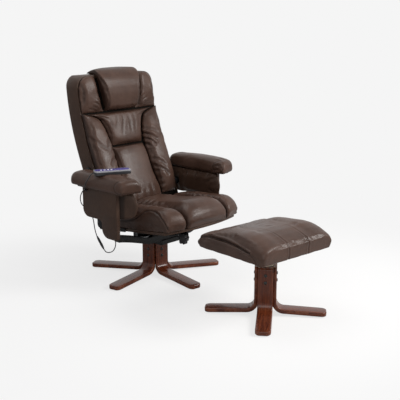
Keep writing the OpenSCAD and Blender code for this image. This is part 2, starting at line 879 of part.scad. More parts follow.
// Lock clamp: a tie under the rails' front ends carries a split clamp round the seat's lock rod,
// and the clamp's two ears reach down to the knob's stud
rod_drop = 17;
clamp_l = 18;
clamp_slit = 2;
tie_t = 4;
tie_w = 22;
tie_back = 5;
web_h = 14;
nut_t = 5;
clamp_out = clamp_slit / 2 + lock_t;
module lock_bracket() {
    tie_half = rail_x + rail_slot / 2 + rail_wall;
    front = knob_local[0] - clamp_l / 2;
    color("black")
        at_seat()
            difference() {
                union() {
                    translate([-tie_half, tie_back - rail_front, rail_bottom - tie_t])
                        cube([2 * tie_half, tie_w, tie_t]);
                    translate([-lock_x, front + clamp_l, -rod_drop])
                        rotate([90, 0, 0])
                            cylinder(h = clamp_l, r = lock_rod_r + lock_t);
                    side_plate(-lock_x - clamp_out, 2 * clamp_out) {
                        translate([front, knob_local[1]])
                            square([clamp_l, -rod_drop - knob_local[1]]);
                        translate(knob_local)
                            circle(d = clamp_l);
                    }
                    // Web from the clamp's inner ear to the tie
                    side_plate(-lock_x + clamp_slit / 2, lock_t)
                        translate([knob_local[0], rail_bottom - web_h])
                            square([tie_back + tie_w - rail_front - knob_local[0], web_h]);
                    translate([clamp_out - lock_x, knob_local[0], knob_local[1]])
                        rotate([0, 90, 0])
                            cylinder(h = nut_t, r = 2 * stud_r, $fn = 6);
                }
                translate([-lock_x, front + clamp_l + cut, -rod_drop])
                    rotate([90, 0, 0])
                        cylinder(h = clamp_l + 2 * cut, r = lock_rod_r + running_gap);
                side_plate(-lock_x - clamp_slit / 2, clamp_slit)
                    translate([front - cut, knob_local[1] - clamp_l])
                        square([clamp_l + 2 * cut, clamp_l - rod_drop - knob_local[1]]);
                translate([-lock_x - clamp_out - cut, knob_local[0], knob_local[1]])
                    rotate([0, 90, 0])
                        cylinder(h = 2 * clamp_out + nut_t + 2 * cut, r = stud_r + running_gap);
            }
}

// Star knob with its stud, which draws the clamp's ears together
knob_lobes = 6;
knob_gap = 0.3;
module lock_knob() {
    hub_h = 7;
    lobe_r = knob_d * 0.19;
    stud_l = 2 * clamp_out + nut_t + knob_gap;
    color("#1c1c1c")
        at_chair()
            translate([-lock_x - clamp_out - knob_gap, -knob_ahead, knob_z])
                rotate([0, -90, 0]) {
                    cylinder(h = hub_h, r = knob_d / 4);
                    translate([0, 0, hub_h])
                        linear_extrude(knob_t - hub_h)
                            difference() {
                                circle(d = knob_d);
                                for (i = [0:knob_lobes - 1])
                                    rotate(i * 360 / knob_lobes)
                                        translate([knob_d / 2 + lobe_r / 2, 0])
                                            circle(r = lobe_r);
                            }
                    translate([0, 0, knob_t])
                        cylinder(h = hub_h / 3, r1 = knob_d / 3.4, r2 = knob_d / 5);
                    translate([0, 0, -stud_l])
                        cylinder(h = stud_l, r = stud_r);
                }
}

// Seat board, bowed at the front like the cushions
seat_board_front = 218;
function seat_plan(half, front, corner_back, rear) =
    let (bow_r = (half * half + corner_back * corner_back) / (2 * corner_back), bow = asin(half / bow_r))
    concat(
        [[half, rear]], [[-half, rear]],
        [for (i = [0:2 * arc_steps]) let (a = -bow + 2 * bow * i / (2 * arc_steps))
            [bow_r * sin(a), bow_r - front - bow_r * cos(a)]]);

module seat_board() {
    color("burlywood")
        at_seat()
            linear_extrude(seat_board_t)
                polygon(seat_plan(lug_x, seat_board_front, seat_corner_back, seat_back_len));
}

// Welded subframe: straps and runners, lugs for the back's link pins, and the lock rod between two lugs
strap_t = 3;
strap_w = 30;
strap_places = [-30, 150];
lug_front = 96;
lug_eye = 15;
rod_lug_side = 4;
rod_lug_gap = 3;
module seat_subframe() {
    slot_half = link_r + slot_side;
    lug_low = min(-strap_t, link_local[1] - slot_down - lug_eye);
    rod_lug_half = lock_rod_r + rod_lug_side;
    rod_front = knob_local[0] - clamp_l / 2 - rod_lug_gap - lock_t;
    rod_rear = knob_local[0] + clamp_l / 2 + travel + rod_lug_gap + lock_t;
    color("dimgray")
        at_seat() {
            for (y = strap_places)
                translate([-lug_x, y, -strap_t])
                    cube([2 * lug_x, strap_w, strap_t]);
            both_sides() {
                translate([rail_x - runner_w / 2, -runner_front, rail_bottom + rail_wall + rail_clear])
                    cube([runner_w, runner_front + runner_rear, -rail_bottom - rail_wall - rail_clear]);
                // Lug with an upright slot round the link pin
                difference() {
                    side_plate(lug_x, lug_t) {
                        translate([lug_front, -strap_t])
                            square([link_local[0] - lug_front, strap_t + seat_board_t]);
                        translate([link_local[0] - lug_eye, lug_low])
                            square([2 * lug_eye, link_local[1] + slot_up + lug_eye - lug_low]);
                    }
                    side_plate(lug_x - cut, lug_t + 2 * cut) {
                        translate([link_local[0] - slot_half, link_local[1] - slot_down])
                            square([2 * slot_half, slot_up + slot_down]);
                        for (end = [-slot_down, slot_up])
                            translate([link_local[0], link_local[1] + end])
                                circle(r = slot_half);
                    }
                }
            }
            // Lock rod between two lugs, on a strip that runs forward from the front strap
            translate([-lock_x - rod_lug_half, rod_front, -strap_t])
                cube([2 * rod_lug_half, strap_places[0] + strap_w - rod_front, strap_t]);
            for (y = [rod_front, rod_rear - lock_t])
                translate([-lock_x - rod_lug_half, y, -rod_drop - rod_lug_half])
                    cube([2 * rod_lug_half, lock_t, rod_drop + rod_lug_half]);
            translate([-lock_x, rod_rear, -rod_drop])
                rotate([90, 0, 0])
                    cylinder(h = rod_rear - rod_front, r = lock_rod_r);
        }
}

// Seat cushions: crowned, rolled over at the front, in the seat's frame
seat_len = seat_back_len + seat_front_len;
seat_stops = [0, 0.012, 0.035, 0.08, 0.16, 0.28, 0.4, 0.52, 0.63, 0.73, 0.81, 0.875, 0.925, 0.96, 0.985, 1];
seat_high_shares = [
    [0, 0.62], [0.012, 0.78], [0.035, 0.88], [0.08, 0.94], [0.2, 0.94], [0.4, 0.91], [0.55, 0.92], [0.7, 0.98],
    [0.81, 1], [0.875, 0.97], [0.925, 0.88], [0.96, 0.75], [0.985, 0.56], [1, 0.28]];
seat_side_shares = [
    [0, 0.6], [0.012, 0.72], [0.035, 0.82], [0.08, 0.91], [0.2, 0.98], [0.35, 1], [0.55, 0.985], [0.7, 0.955],
    [0.81, 0.946], [0.875, 0.918], [0.925, 0.832], [0.96, 0.71], [0.985, 0.53], [1, 0.28]];
seat_half_shares = [[0, 0.97], [0.035, 1], [0.9, 1], [0.96, 0.995], [1, 0.97]];
// Front edge of the seat at a distance from the middle, measured back from the crown
function seat_bow(x) = seat_corner_back * pow(x / seat_half, 2);
// Share of the length that a point at a height keeps, so that the front is widest below its middle
seat_nose_shares = [[0, 0.965], [0.3, 1], [0.6, 0.995], [1, 0.97]];
function seat_ring(s, mid, half, high, shares) =
    [for (p = dome(mid, half * lookup(s, seat_half_shares), high * lookup(s, shares), 3.6, 18))
        [p[0], seat_back_len - s * (seat_len * lookup(s < 0.5 ? 0.3 : p[1] / high, seat_nose_shares) - s * seat_bow(p[0])),
         seat_board_t + rest_gap + p[1]]];

module seat_cushion() {
    color("#6a5448")
        at_seat()
            loft(reversed([for (s = seat_stops)
                seat_ring(s, 0, seat_mid_half, seat_pad_h, seat_high_shares)]));
}

module seat_side_cushions() {
    half = (seat_half - seat_mid_half - sewn_gap) / 2;
    color("#5f4b40")
        at_seat()
            both_sides()
                loft(reversed([for (s = seat_stops)
                    seat_ring(s, seat_half - half, half, seat_side_h, seat_side_shares)]));
}

// The back's curve in side view: a smooth line along the front seam
back_a = [back_foot_y, back_foot_z];
back_b = [back_low_y, back_low_z];
back_c = [back_high_y, back_high_z];
back_d = [back_top_y, back_top_z];
curve_steps = 26;
function back_dir(t) = unit(bezier_slope(back_a, back_b, back_c, back_d, min(t, 1)));
function back_on(t) = bezier(back_a, back_b, back_c, back_d, min(t, 1))
    + max(0, t - 1) * (back_top_z - back_foot_z) * back_dir(1);
// Point at a distance behind the front seam; a negative distance is in front
function back_off(t, behind) = let (d = back_dir(t)) back_on(t) + behind * [d[1], -d[0]];
// Outline of a layer of the back between two distances behind the seam
function back_layer(from, to, near, far) = concat(
    [for (i = [0:curve_steps]) back_off(from + (to - from) * i / curve_steps, near)],
    [for (i = [curve_steps:-1:0]) back_off(from + (to - from) * i / curve_steps, far)]);

// Front view of the back, round at its two upper corners
module back_front_view(half, r, low, top) {
    rotate([90, 0, 0])
        linear_extrude(2 * back_reach, center = true)
            polygon(concat(
                [[-half, low], [half, low]],
                arc(half - r, top - r, r, 0, 90),
                arc(r - half, top - r, r, 90, 180)));
}

module back_shell() {
    top_share = shell_wall / (back_top_z - back_foot_z);
    color("#3f3029")
        at_chair()
            difference() {
                intersection() {
                    side_plate(-back_half, 2 * back_half)
                        polygon(back_layer(0, 1, 0, back_depth));
                    back_front_view(back_half, back_corner_r, 0, back_top_z);
                }
                intersection() {
                    side_plate(shell_wall - back_half, 2 * (back_half - shell_wall))
                        polygon(back_layer(top_share, 1 - top_share, -cut, back_depth - shell_wall));
                    back_front_view(back_half - shell_wall, back_corner_r - shell_wall, 0, back_top_z - shell_wall);
                }
            }
}

// Board inside the shell's rim that the cushions rest on
board_side_gap = 0.4;
board_from_share = 0.03;
board_to_share = 0.95;
module back_board() {
    half = back_half - shell_wall - board_side_gap;
    color("burlywood")
        at_chair()
            intersection() {
                side_plate(-half, 2 * half)
                    polygon(back_layer(board_from_share, board_to_share, 0, back_board_t));
                back_front_view(half, back_corner_r - shell_wall, 0, back_top_z - shell_wall - board_side_gap);
            }
}

// Steel bracket on each side of the back: pivot eye, link pin below it, arm up the shell's side
bracket_top_t = 0.34;
module back_brackets() {
    top = back_off(bracket_top_t, back_depth / 2);
    lean = atan2(top[1] - pivot_z, top[0] - pivot_behind);
    color("dimgray")
        at_chair()
            both_sides() {
                difference() {
                    side_plate(bracket_x, bracket_t) {
                        translate([pivot_behind - bracket_w / 2, link_z])
                            square([bracket_w, link_drop]);
                        translate([pivot_behind, link_z])
                            circle(d = bracket_w);
                        translate([pivot_behind, pivot_z])
                            circle(d = bracket_w);
                        translate([pivot_behind, pivot_z])
                            rotate(lean - 90)
                                translate([-bracket_w / 2, 0])
                                    square([bracket_w, norm(top - [pivot_behind, pivot_z])]);
                        translate(top)
                            circle(d = bracket_w);
                    }
                    translate([bracket_x - cut, pivot_behind, pivot_z])
                        rotate([0, 90, 0])
                            cylinder(h = bracket_t + 2 * cut, r = pivot_r + running_gap);
                }
                translate([lug_x - lug_gap, pivot_behind, link_z])
                    rotate([0, 90, 0])
                        cylinder(h = bracket_x - lug_x + lug_gap, r = link_r);
            }
}

// Vibration motors clipped to the rear face of the board
motor_r = 24;
motor_h = 22;
motor_x = 62;
motor_gap = 0.6;
motor_places = [0.22, 0.62];
module back_motors() {
    color("silver")
        at_chair()
            for (t = motor_places) {
                p = back_off(t, back_board_t + motor_gap);
                d = back_dir(t);
                both_sides()
                    translate([motor_x, p[0], p[1]])
                        rotate([-90 - atan2(d[0], d[1]), 0, 0])
                            cylinder(h = motor_h, r = motor_r);
            }
}

// Ring of a back cushion across the back at a place along its curve
function back_ring(t, mid, half, crown, power, steps) =
    [for (p = dome(mid, half, crown, power, steps))
        let (q = back_off(t, -rest_gap - p[1])) [p[0], q[0], q[1]]];

// Places along the back at which the cushions begin and end
lumbar_from = 0.02;
lumbar_to = 0.482;
upper_to = 0.742;
bolster_from = 0.06;
bolster_to = 0.75;
wing_from = 0.758;
wing_to = 0.998;
headrest_from = 0.75;
headrest_to = 1 + headrest_over / (back_top_z - back_foot_z);
// Half width of the middle panels along the back's curve
panel_half = 166;
panel_shares = [[0, 0.80], [0.15, 0.74], [0.3, 0.66], [0.5, 0.64], [0.6, 0.70], [0.7, 0.86], [0.76, 1]];
function panel_at(t) = panel_half * lookup(t, panel_shares);
end_stops = [0, 0.02, 0.06, 0.14, 0.26, 0.4, 0.55, 0.7, 0.82, 0.91, 0.96, 0.985, 1];
end_crown_shares = [[0, 0.30], [0.02, 0.52], [0.06, 0.74], [0.14, 0.92], [0.26, 1], [0.75, 1], [0.88, 0.9],
    [0.96, 0.68], [0.985, 0.5], [1, 0.3]];

module panel_cushion(from, to, crown) {
    loft([for (s = end_stops) let (t = from + (to - from) * s)
        back_ring(t, 0, panel_at(t) - sewn_gap, crown * lookup(s, end_crown_shares), 3, 16)]);
}

module lumbar_cushion() {
    color("#6a5448")
        at_chair()
            panel_cushion(lumbar_from, lumbar_to, lumbar_crown);
}

module upper_back_cushion() {
    color("#6a5448")
        at_chair()
            panel_cushion(lumbar_to + sewn_gap / back_reach, upper_to, upper_crown);
}

// Side bolsters: puffed tubes whose inner edge follows the middle panels
bolster_crown_shares = [[0, 0.35], [0.02, 0.55], [0.06, 0.78], [0.14, 0.95], [0.3, 1], [0.6, 0.95], [0.8, 0.85],
    [0.91, 0.72], [0.96, 0.55], [1, 0.3]];
bolster_out_shares = [[0, 0.94], [0.2, 0.97], [0.5, 1], [1, 1]];
module back_bolsters() {
    color("#7a6356")
        at_chair()
            both_sides()
                loft([for (s = end_stops)
                    let (t = bolster_from + (bolster_to - bolster_from) * s,
                         outer = back_half * lookup(s, bolster_out_shares))
                    back_ring(t, (outer + panel_at(t)) / 2, (outer - panel_at(t)) / 2,
                        bolster_crown * lookup(s, bolster_crown_shares), 2.4, 16)]);
}

// Headrest pillow: its side profile as [place along the back, distance in front of the seam], which starts
// at the corner where the pillow bends over the top of the shell
headrest_half_shares = [[0, 0.73], [0.2, 0.80], [0.6, 0.93], [0.85, 1], [1, 1]];
headrest_span = headrest_to - headrest_from;
headrest_behind = back_depth - 8;
headrest_profile = concat(
    [[1 + rest_gap / headrest_over * (headrest_to - 1), rest_gap], [headrest_from, rest_gap]],
    [for (q = [[0, 0.22], [0.03, 0.5], [0.1, 0.74], [0.25, 0.92], [0.42, 1], [0.58, 1], [0.7, 0.93], [0.8, 0.8],
            [0.88, 0.6], [0.95, 0.34]])
        [headrest_from + headrest_span * q[0], headrest_crown * q[1]]],
    [for (q = [[0, 1], [0.3, 0.95], [0.6, 0.76], [0.85, 0.45], [1, 0.14]])
        [1 + (headrest_to - 1) * q[1], -headrest_behind * q[0]]],
    [[1 + rest_gap / headrest_over * (headrest_to - 1), -headrest_behind]]);
headrest_stops = [[1, 0.72], [0.975, 0.86], [0.93, 0.94], [0.85, 0.98], [0.65, 1], [0.35, 1]];
function headrest_at(t) = headrest_half * lookup((t - headrest_from) / headrest_span, headrest_half_shares);
function headrest_ring(side, q) =
    [for (p = headrest_profile)
        let (keep = p[1] > rest_gap || p[0] > 1 + rest_gap / headrest_over,
             t = keep && p[0] > 1 ? 1 + (p[0] - 1) * q[1] : p[0],
             out = p[1] > rest_gap ? p[1] * q[1] : p[1],
             c = back_off(t, -out))
        [side * q[0] * headrest_at(p[0]), c[0], c[1]]];

module headrest() {
    color("#5f4b40")
        at_chair()
            loft(concat(
                [for (q = headrest_stops) headrest_ring(-1, q)],
                [for (i = [len(headrest_stops) - 1:-1:0]) headrest_ring(1, headrest_stops[i])]));
}

// Outer edge of the wings, which follows the shell's round corners
function wing_outer(t) =
    let (d = min(back_corner_r, max(0, (1 - t) * (back_top_z - back_foot_z))))
    back_half - back_corner_r + sqrt(pow(back_corner_r, 2) - pow(back_corner_r - d, 2));

module back_wings() {
    color("#66513f")
        at_chair()
            both_sides()
                loft([for (s = end_stops)
                    let (t = wing_from + (wing_to - wing_from) * s,
                         inner = headrest_at(t) + sewn_gap,
                         outer = wing_outer(t))
                    back_ring(t, (outer + inner) / 2, (outer - inner) / 2,
                        wing_crown * lookup(s, end_crown_shares), 2.6, 14)]);
}

// Footstool: spindle and board turn together under the cushion
stool_board_share = 0.9;
stool_board_r = 30;
function stool_board_plan(more) =
    round_box(stool_w * stool_board_share + 2 * more, stool_d * stool_board_share + 2 * more, stool_board_r + more);
module stool_spindle() {
    color("dimgray")
        at_stool()
            spindle(stool_post_h, stool_z - flange_t);
}

module stool_board() {
    color("burlywood")
        at_stool()
            rotate([0, 0, stool_turn])
                translate([0, stool_pad_shift, stool_z])
                    linear_extrude(stool_board_t)
                        polygon(stool_board_plan(0));
}

// Cushion with a crown, sides that bulge above their foot, and two sewn channels from front to rear
stool_stops = [0, 0.01, 0.035, 0.08, 0.16, 0.28, 0.4, 0.52, 0.64, 0.75, 0.85, 0.925, 0.965, 0.99, 1];
stool_high_shares = [[0, 0.42], [0.035, 0.525], [0.12, 0.56], [0.21, 0.72], [0.3, 0.86], [0.5, 0.925], [0.7, 1],
    [0.8, 0.93], [0.88, 0.82], [0.965, 0.67], [1, 0.6]];
stool_half_shares = [[0, 0.95], [0.035, 0.985], [0.12, 1], [0.5, 0.99], [0.88, 1], [0.965, 0.985], [1, 0.95]];
// Share of the half width or depth that a point keeps at a share of the pad's height
stool_side_shares = [[0, 0.955], [0.12, 0.985], [0.3, 1], [0.5, 0.995], [0.75, 0.97], [1, 0.95]];
// Share by which the pad is higher at its sides than along its middle
stool_saddle = 0.2;
stool_power = 4;
channel_w = 9;
function channel_at(x) = stool_channel * exp(-pow((abs(x) - stool_channel_x) / channel_w, 2));
stool_columns = [0, 10, 22, 32, 40, 47, 53, 58, 61.6, 65, 72, 80, 90];
function stool_ring(s) =
    let (half = stool_w / 2 * lookup(s, stool_half_shares), high = stool_pad_h * lookup(s, stool_high_shares),
         angles = concat(stool_columns, [for (i = [len(stool_columns) - 2:-1:0]) 180 - stool_columns[i]]))
    [for (a = angles)
        let (z = high * pow(abs(sin(a)), 2 / stool_power), keep = lookup(z / stool_pad_h, stool_side_shares),
             x = half * sign(cos(a)) * pow(abs(cos(a)), 2 / stool_power) * (abs(cos(a)) > 0.8 ? keep : 1),
             raised = z * (1 + stool_saddle * pow(2 * x / stool_w, 2)))
        [x, stool_d * (0.5 - s) * keep, stool_z + raised - channel_at(x) * z / stool_pad_h]];

module stool_cushion() {
    color("#5f4b40")
        at_stool()
            rotate([0, 0, stool_turn])
                translate([0, stool_pad_shift, 0])
                    difference() {
                        loft(reversed([for (s = stool_stops) stool_ring(s)]));
                        // Recess that the board sits in
                        translate([0, 0, stool_z - cut])
                            linear_extrude(stool_board_t + rest_gap + cut)
                                polygon(stool_board_plan(board_side_gap));
                    }
}

// Handset, lying across the crown of the sitter's right arm pad
handset_x = -308;
handset_y = -42;
handset_z = board_top + arm_top_t + rest_gap + arm_pad_h + rest_gap;
handset_corner = 13;
button_first = -53;
button_rise = 1.4;
button_clear = 0.2;
button_low = 8;
module at_handset() {
    translate([handset_x, chair_y + handset_y, handset_z])
        rotate([0, 0, handset_turn])
            children();
}

module handset_case() {
    color("silver")
        at_handset()
            difference() {
                linear_extrude(handset_h)
                    polygon(round_box(handset_l, handset_w, handset_corner));
                translate([0, 0, case_wall])
                    linear_extrude(handset_h)
                        polygon(round_box(handset_l - 2 * case_wall, handset_w - 2 * case_wall,
                            handset_corner - case_wall));
            }
}

module handset_face() {
    color("slateblue")
        at_handset()
            difference() {
                translate([0, 0, handset_h])
                    linear_extrude(face_t)
                        polygon(round_box(handset_l, handset_w, handset_corner));
                for (i = [0:3])
                    translate([button_first + i * button_pitch, 0, handset_h - cut])
                        cylinder(h = face_t + 2 * cut, r = button_d / 2 + button_clear);
            }
}

// Circuit board on the floor of the case, with one key switch under each button
switch_h = 3;
circuit_t = 1.6;
module handset_circuit() {
    color("green")
        at_handset()
            translate([0, 0, case_wall]) {
                translate([-handset_l / 2 + handset_corner, -handset_w / 3, 0])
                    cube([handset_l - 2 * handset_corner, 2 * handset_w / 3, circuit_t]);
                for (i = [0:3])
                    translate([button_first + i * button_pitch, 0, circuit_t])
                        cylinder(h = switch_h, r = button_d / 3);
            }
}

module handset_button(i) {
    foot = case_wall + circuit_t + switch_h + button_travel + rest_gap;
    color("white")
        at_handset()
            translate([button_first + i * button_pitch, 0, 0]) {
                translate([0, 0, foot])
                    cylinder(h = handset_h + face_t + button_rise - foot, r = button_d / 2);
                translate([0, 0, foot])
                    cylinder(h = button_low / 4, r = button_d / 2 + button_rise);
            }
}

// Clip near the rear top corner of the right arm board that holds the cord
clip_y = 98;
clip_z = 478;
clip_l = 9;
clip_wall = 1.5;
clip_foot = 6;
clip_clear = 0.7;
module cord_clip() {
    ring_r = cord_d / 2 + clip_clear + clip_wall;
    color("black")
        translate([-arm_half - ring_r, chair_y + clip_y, clip_z])
            rotate([90, 0, 0])
                difference() {
                    union() {
                        cylinder(h = clip_l, r = ring_r, center = true);
                        translate([0, -ring_r - clip_foot, -clip_l / 2])
                            cube([ring_r, ring_r + clip_foot, clip_l]);
                    }
                    cylinder(h = clip_l + 2 * cut, r = cord_d / 2 + clip_clear, center = true);
                    translate([-ring_r, -ring_r - clip_foot - cut, -clip_l])
                        cube([2 * ring_r - clip_wall, clip_foot + cut, 2 * clip_l]);
                }
}

// Control box on the inner face of the right arm board, behind the cross bar's end
box_w = 27;
box_d = 30;
box_h = 80;
box_z = 262;
module control_box() {
    color("#1c1c1c")
        at_chair()
            translate([board_t - arm_half, end_plate_d / 2 - bar_ahead + rest_gap, box_z])
                cube([box_w, box_d, box_h]);
}

// The cord's route, chosen by hand, from the chair's axis: handset to connector, and on to the control box
route_a = [
    [-385, -3, 577], [-393, 1, 575], [-400, 9, 565], [-401, 22, 549], [-400, 40, 530], [-397, 55, 509],
    [-390, 68, 493], [-377, 80, 483], [-366, 88, 479], [-359.5, 94, 478], [-359.5, 102, 478], [-360, 113, 472],
    [-360, 124, 461], [-360, 134, 446], [-360, 139, 430], [-360, 138, 414], [-357, 134, 400], [-348, 131, 388],
    [-336, 128, 378], [-326, 121, 367], [-322, 109, 351], [-322, 98, 334], [-322, 91, 315], [-322, 86, 290],
    [-322, 79, 264], [-322, 68, 243]];
route_b = [[-322, 19, 188], [-322, 9, 180], [-322, -4, 177], [-322, -22, 180], [-322, -44, 190], [-322, -60, 206],
    [-322, -69, 226], [-322, -70, 246], [-322, -68, 262]];

// Smooth line through hand-chosen points
function spline(p, i, u) =
    let (a = p[max(i - 1, 0)], b = p[i], c = p[i + 1], d = p[min(i + 2, len(p) - 1)])
    b + (c - a) / 2 * u + (a - 2.5 * b + 2 * c - d / 2) * u * u + (1.5 * (b - c) + (d - a) / 2) * u * u * u;
function spline_dir(p, i, u) =
    let (a = p[max(i - 1, 0)], b = p[i], c = p[i + 1], d = p[min(i + 2, len(p) - 1)])
    unit((c - a) / 2 + 2 * (a - 2.5 * b + 2 * c - d / 2) * u + 3 * (1.5 * (b - c) + (d - a) / 2) * u * u);
cord_sides = 8;
cord_rings = 2;
module cord_tube(route) {
    last = len(route) - 2;
    places = [for (i = [0:last], k = [0:cord_rings - 1]) [i, k / cord_rings]];
    all_places = concat(places, [[last, 1]]);
    loft([for (q = all_places)
        let (c = spline(route, q[0], q[1]), w = spline_dir(route, q[0], q[1]),
             across = unit(cross(w, abs(w[0]) < 0.8 ? [1, 0, 0] : [0, 1, 0])), up = cross(w, across))
        [for (k = [0:cord_sides - 1]) let (a = -360 * k / cord_sides)
            c + cord_d / 2 * (cos(a) * across + sin(a) * up)]]);
}

module handset_cord() {
    color("black")
        at_chair()
            cord_tube(route_a);
}

module control_cord() {
    color("black")
        at_chair()
            cord_tube(route_b);
}

// Inline connector: two mated barrels with tapered strain reliefs
module cord_connector() {
    from = route_a[len(route_a) - 1];
    to = route_b[0];
    w = unit(to - from);
    length = norm(to - from);
    relief = length * 0.24;
    color("#1c1c1c")
        at_chair()
            translate(from)
                rotate([0, acos(w[2]), atan2(w[1], w[0])])
                    rotate_extrude()
                        polygon([[0, 0], [cord_d / 2 + 1, 0], [connector_d / 2 - 1, relief],
                            [connector_d / 2, relief], [connector_d / 2, length / 2 - 1],
                            [connector_d / 2 - 1, length / 2], [connector_d / 2, length / 2 + 1],
                            [connector_d / 2, length - relief], [connector_d / 2 - 1, length - relief],
                            [cord_d / 2 + 1, length], [0, length]]);
}

chair_leg(0);  // chair_leg_1
chair_leg(1);  // chair_leg_2
chair_leg(2);  // chair_leg_3
chair_leg(3);  // chair_leg_4
chair_leg(4);  // chair_leg_5
chair_core();
chair_bush();
chair_leg_bolts();
chair_glides();
stool_leg(0);  // stool_leg_1
stool_leg(1);  // stool_leg_2
stool_leg(2);  // stool_leg_3
stool_leg(3);  // stool_leg_4
stool_core();
stool_bush();
stool_leg_bolts();
stool_glides();
chair_spindle();
swivel_tray();
arm_cross_bar();
seat_rails();
arm_board_right();
arm_board_left();
arm_pad_right();
arm_pad_left();
inner_arm_pad_right();
inner_arm_pad_left();
arm_top_boards();
arm_bolts();
pivot_posts();
lock_bracket();
cord_clip();
control_box();
handset_case();
handset_face();
handset_circuit();
handset_cord();
cord_connector();
control_cord();
handset_button(0);  // handset_button_1
handset_button(1);  // handset_button_2
handset_button(2);  // handset_button_3
handset_button(3);  // handset_button_4
back_shell();
back_board();
back_brackets();
back_motors();
lumbar_cushion();
upper_back_cushion();
back_bolsters();
back_wings();
headrest();
seat_board();
seat_subframe();
seat_cushion();
seat_side_cushions();
lock_knob();
stool_spindle();
stool_board();
stool_cushion();
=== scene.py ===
import math

import bmesh
import bpy
import numpy as np
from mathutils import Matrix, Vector


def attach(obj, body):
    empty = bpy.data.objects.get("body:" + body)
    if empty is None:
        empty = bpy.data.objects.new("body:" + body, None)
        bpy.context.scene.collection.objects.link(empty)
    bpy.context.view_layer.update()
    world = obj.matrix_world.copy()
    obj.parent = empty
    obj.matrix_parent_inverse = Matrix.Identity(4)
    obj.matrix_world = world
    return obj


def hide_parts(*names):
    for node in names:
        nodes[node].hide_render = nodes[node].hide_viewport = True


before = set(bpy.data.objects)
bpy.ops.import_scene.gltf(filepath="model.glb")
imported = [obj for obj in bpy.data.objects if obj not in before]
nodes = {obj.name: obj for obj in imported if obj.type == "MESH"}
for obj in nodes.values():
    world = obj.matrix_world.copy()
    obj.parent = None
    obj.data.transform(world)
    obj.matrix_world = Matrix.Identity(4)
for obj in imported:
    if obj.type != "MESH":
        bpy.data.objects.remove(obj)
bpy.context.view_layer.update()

scene = bpy.context.scene
scene.view_settings.view_transform = "Standard"


# Camera: a 72 mm lens at head height, in front of the sitter's right arm, as the set was photographed.
# The chair turns about an upright axis at x = 0, y = chair_y; x is to the sitter's left and -y is ahead.
chair_y = 0.320215
camera_place = (-2.70388, -2.88940 + chair_y, 1.34637)
camera_dip = 13.76
camera_turn = 46.43
camera = bpy.data.objects.new("camera", bpy.data.cameras.new("camera"))
camera.location = camera_place
camera.rotation_euler = (math.radians(90 - camera_dip), 0, math.radians(-camera_turn))
camera.data.lens = 72.45
camera.data.sensor_width = 36
camera.data.clip_start = 0.05
scene.collection.objects.link(camera)
scene.camera = camera


# Finishes are built node by node. A Value is one output of a node, so that shader maths reads as an
# expression, and a Finish is a material with its Principled shader.
class Value:
    def __init__(self, finish, socket):
        self.finish = finish
        self.socket = socket

    def maths(self, operation, other):
        return self.finish.add("Math", {"operation": operation}, {0: self, 1: other})

    def __add__(self, other):
        return self.maths("ADD", other)

    def __sub__(self, other):
        return self.maths("SUBTRACT", other)

    def __mul__(self, other):
        return self.maths("MULTIPLY", other)

    def __pow__(self, other):
        return self.maths("POWER", other)

    def band(self, low, high, start=0.0, end=1.0):
        """Goes from start, up to low, to end, from high on, smoothly."""
        settings = {"interpolation_type": "SMOOTHSTEP"}
        sockets = {"Value": self, "From Min": low, "From Max": high, "To Min": start, "To Max": end}
        return self.finish.add("MapRange", settings, sockets)


class Finish:
    def __init__(self, name, **shader):
        self.material = bpy.data.materials.new(name)
        self.material.use_nodes = True
        self.tree = self.material.node_tree
        self.shader = self.tree.nodes["Principled BSDF"]
        for socket, value in shader.items():
            self.feed(self.shader.inputs[socket.replace("_", " ")], value)

    def feed(self, socket, value):
        if isinstance(value, Value):
            self.tree.links.new(value.socket, socket)
        elif socket.type == "RGBA" and len(value) == 3:
            socket.default_value = (*value, 1)
        else:
            socket.default_value = value

    def add(self, kind, settings, sockets, out=0):
        node = self.tree.nodes.new("ShaderNode" + kind)
        for key, value in settings.items():
            setattr(node, key, value)
        for key, value in sockets.items():
            self.feed(node.inputs[key], value)
        return Value(self, node.outputs[out])

    def place(self, stretch=(1, 1, 1)):
        """The row frame's coordinates in metres, stretched."""
        coordinates = self.add("TexCoord", {}, {}, "Object")
        return self.add("Mapping", {}, {"Vector": coordinates, "Scale": stretch})

    def attribute(self, name, out="Fac"):
        return self.add("Attribute", {"attribute_name": name}, {}, out)

    def clouds(self, where, scale, detail=4, roughness=0.5, twist=0.0):
        sockets = {"Vector": where, "Scale": scale, "Detail": detail, "Roughness": roughness,
                   "Distortion": twist}
        return self.add("TexNoise", {}, sockets, "Fac")

    def cells(self, where, scale, feature="F1"):
        return self.add("TexVoronoi", {"feature": feature}, {"Vector": where, "Scale": scale}, "Distance")

    def blend(self, factor, a, b):
        return self.add("Mix", {"data_type": "RGBA"}, {0: factor, 6: a, 7: b}, 2)

    def relief(self, height, strength, distance):
        sockets = {"Height": height, "Strength": strength, "Distance": distance}
        self.feed(self.shader.inputs["Normal"], self.add("Bump", {}, sockets))

    def colour(self, value):
        self.feed(self.shader.inputs["Base Color"], value)

    def roughness(self, value):
        self.feed(self.shader.inputs["Roughness"], value)


def wear(piece, finish):
    piece.data.materials.clear()
    piece.data.materials.append(finish.material)


# Studio: a pale floor that keeps the soft shadow and fades into white paper all round, a wide lamp above
# and in front on the camera's right, a weaker one on its left and one overhead behind the chair.
paper = (0.913, 0.913, 0.913)
room = (0.24, 0.24, 0.25)
floor_half = 14
floor_tone = 0.25
floor_glow = 0.70
bounce_tone = 0.7
fade_from = 0.75
fade_to = 1.7
floor = bpy.data.objects.new("floor", bpy.data.meshes.new("floor"))
corners = [(-floor_half, -floor_half, 0), (floor_half, -floor_half, 0),
           (floor_half, floor_half, 0), (-floor_half, floor_half, 0)]
floor.data.from_pydata(corners, [], [(0, 1, 2, 3)])
scene.collection.objects.link(floor)

